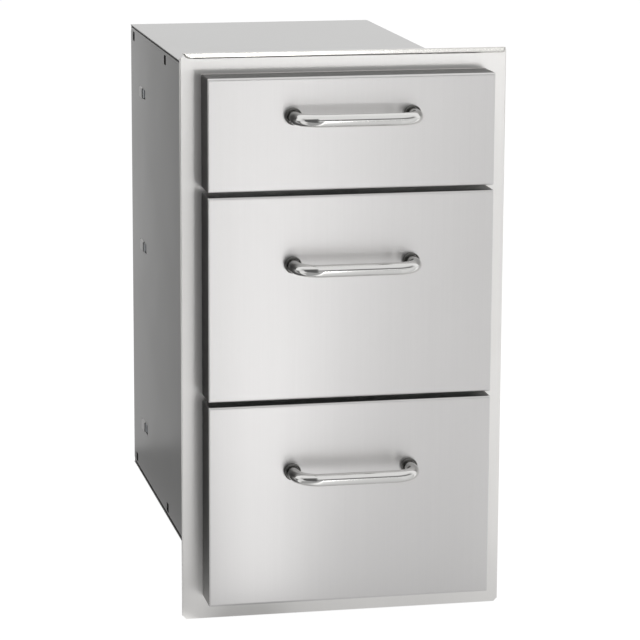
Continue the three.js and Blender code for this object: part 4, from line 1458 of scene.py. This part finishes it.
for key in DRAWERS:
    for name, side in SIDES.items():
        for kind, web, balls, row in CAGES:
            node = f"{key}_{name}_{kind}_ball_cage"
            piece = cage(node, side, slide_heights[key], web, balls, row)
            settle(piece, f"{key}_{kind}_cages", "cage_steel", node)

# %% [markdown]
# ## Small fasteners and balls
# The balls, screws and rivets are one small shape each, repeated many times. A second Geometry Nodes tree
# does that: it takes loose points, each with a direction, puts a copy of the item on every point, turns it
# to the direction and spins it by a random angle from a fixed seed. The copies are made real at the end,
# because the export drops instances.

# %% Geometry Nodes: an item on every point
item_tree, given, result = new_tree("items_on_points", [
    ("Item", "Object"),
    ("Size", "Float"),
    ("Seed", "Int"),
    ("Finish", "Material"),
])
tree = item_tree
facing = wire(tree, "GeometryNodeInputNamedAttribute", {"Name": "facing"}, data_type="FLOAT_VECTOR")
turn = wire(tree, "FunctionNodeAlignRotationToVector", links={"Vector": facing.outputs[0]}, axis="Z")
spin = wire(tree, "FunctionNodeRandomValue", links={"Seed": given.outputs["Seed"]}, data_type="FLOAT")
spin.inputs[3].default_value = 2 * math.pi
round_axis = wire(tree, "FunctionNodeAxisAngleToRotation", {"Axis": (0, 0, 1)}, {"Angle": spin.outputs[1]})
spun = wire(tree, "FunctionNodeRotateRotation", links={
    "Rotation": turn.outputs[0], "Rotate By": round_axis.outputs[0],
}, rotation_space="LOCAL")
item = wire(tree, "GeometryNodeObjectInfo", links={"Object": given.outputs["Item"]})
placed = wire(tree, "GeometryNodeInstanceOnPoints", links={
    "Points": given.outputs["Geometry"], "Instance": item.outputs["Geometry"],
    "Rotation": spun.outputs[0], "Scale": given.outputs["Size"],
})
finish_tree(tree, placed.outputs[0], given, result)


def items(name, body, finish, item, places, seed, size=1.0):
    """One piece made of copies of an item. Each place is a point in millimetres and a direction."""
    mesh = bpy.data.meshes.new(name)
    mesh.from_pydata([point * MM for point, _ in places], [], [])
    facing = mesh.attributes.new("facing", "FLOAT_VECTOR", "POINT")
    for i, (_, direction) in enumerate(places):
        facing.data[i].vector = direction
    piece = bpy.data.objects.new(name, mesh)
    scene.collection.objects.link(piece)
    run_tree(piece, item_tree, {"Item": item, "Size": size, "Seed": seed, "Finish": finishes[finish]})
    settle(piece, body, finish)


# %% The patterns: a ball, a rivet, a bump stop and a screw
PATTERN_ANGLE = math.radians(40)


def spun_pattern(name, profile, steps, press=None):
    """A small turned shape that is only copied, so it is kept out of the scene. press() reshapes it."""
    bm = bmesh.new()
    turned(bm, profile, lambda a, b, h: (a, b, h), steps)
    if press:
        press(bm)
    shape = joined_object(name, bm, SOLID_MERGE)
    shape.data.set_sharp_from_angle(angle=PATTERN_ANGLE)
    scene.collection.objects.unlink(shape)
    return shape


ball = spun_pattern("ball_pattern", arc((0, 0), BALL_RADIUS, -90, 90, 8), steps=14)
rivet_profile = [(0, -0.3), (3, -0.3)] + arc((0, -3.9), 4.9, 52, 90, 5)
rivet = spun_pattern("rivet_pattern", rivet_profile, steps=20)
stop_profile = [(0, -0.2), (4.2, -0.2), (4.2, 0.3), (3.9, 0.6), (3.2, 0.78), (0, 0.85)]
stop = spun_pattern("bump_stop_pattern", stop_profile, steps=24)
HEAD_RADIUS = 3.6
HEAD_HEIGHT = 1.5
HEAD_RIM = 0.15
HEAD_SEAT = -0.4
CROSS_REACH = 0.62 * HEAD_RADIUS
CROSS_HALF = 0.16 * HEAD_RADIUS
CROSS_ABOVE = 0.4 * HEAD_HEIGHT
CROSS_DEPTH = 0.6 * HEAD_HEIGHT
head_profile = [(0, HEAD_SEAT), (HEAD_RADIUS, HEAD_SEAT), (HEAD_RADIUS, HEAD_RIM)] + [
    (HEAD_RADIUS * math.cos(angle), HEAD_RIM + (HEAD_HEIGHT - HEAD_RIM) * math.sin(angle))
    for angle in map(math.radians, (20, 40, 60, 78))
] + [(0, HEAD_HEIGHT)]


def press_cross(bm):
    """Presses the four arms of a cross recess into a screw's head."""
    for vert in bm.verts:
        reach = math.hypot(vert.co.x, vert.co.y)
        arm = min(abs(vert.co.x), abs(vert.co.y))
        if vert.co.z > CROSS_ABOVE and reach < CROSS_REACH and arm < CROSS_HALF:
            vert.co.z -= CROSS_DEPTH


screw = spun_pattern("screw_pattern", head_profile, steps=32, press=press_cross)
print("patterns:", [(p.name, len(p.data.polygons)) for p in (ball, rivet, stop, screw)])

# %% Balls in the cages
BALL_SEED = 3
for key in DRAWERS:
    for kind, web, balls, row in CAGES:
        places = [
            (Vector((side * (WALL_FACE - balls), y, slide_heights[key] + up * row)), Z)
            for name, side in SIDES.items()
            for y in ball_places(f"{key}_{name}_{kind}_ball_cage")
            for up in (-1, 1)
        ]
        items(f"{key}_{kind}_balls", f"{key}_{kind}_cages", "ball_steel", ball, places, BALL_SEED)

# %% Screws, rivets and bump stops
SCREW_DEPTH = 11.5
HANDLE_SCREW = 66.5
TRAY_SCREW = 118
TRAY_SCREW_INSET = 16
STOP_INSETS = (5.5, 6.5)
RIVET_SIDE = 147
RIVET_FACE = 568.3
RIVET_LEVELS = (60, 190, 320, 450, 580)
SCREW_SEED = 11
STOP_SEED = 5
RIVET_SEED = 7
for key in DRAWERS:
    places = [
        (Vector((side * (WALL_FACE - SCREW_DEPTH), y, slide_heights[key])), side * X)
        for side in SIDES.values() for y in screw_places
    ]
    low, high = box_mm(key + "_tray")
    bow_height = sum(v.z for v in box_mm(key + "_handle")) / 2
    on_inner_face = on_plane("y", low.y + TRAY_SHEET)
    for x in (-HANDLE_SCREW, HANDLE_SCREW):
        places.append((on_inner_face(x, bow_height), Y))
    for x in (-TRAY_SCREW, TRAY_SCREW):
        for z in (low.z + TRAY_SCREW_INSET, high.z - TRAY_SCREW_INSET):
            places.append((on_inner_face(x, z), Y))
    items(key + "_drawer_screws", key + "_drawer", "screw_steel", screw, places, SCREW_SEED)
    low, high = pan_boxes[key]
    places = [
        (Vector((x, high.y, z)), Y)
        for x in (low.x + STOP_INSETS[0], high.x - STOP_INSETS[0])
        for z in (low.z + STOP_INSETS[1], high.z - STOP_INSETS[1])
    ]
    items(key + "_bump_stops", key + "_drawer", "bumper_rubber", stop, places, STOP_SEED)

places = [
    (Vector((side * RIVET_SIDE, RIVET_FACE, z)), Y)
    for side in SIDES.values() for z in RIVET_LEVELS
]
items("back_rivets", "cabinet", "screw_steel", rivet, places, RIVET_SEED)

# %% [markdown]
# ## What was made
# The pieces that are furthest from the box of the CAD nodes that they replace are listed. The visual
# model has to stay inside the CAD model's box.

# %% The pieces furthest off
print("furthest off:", sorted(fit.items(), key=lambda item: -item[1])[:8])
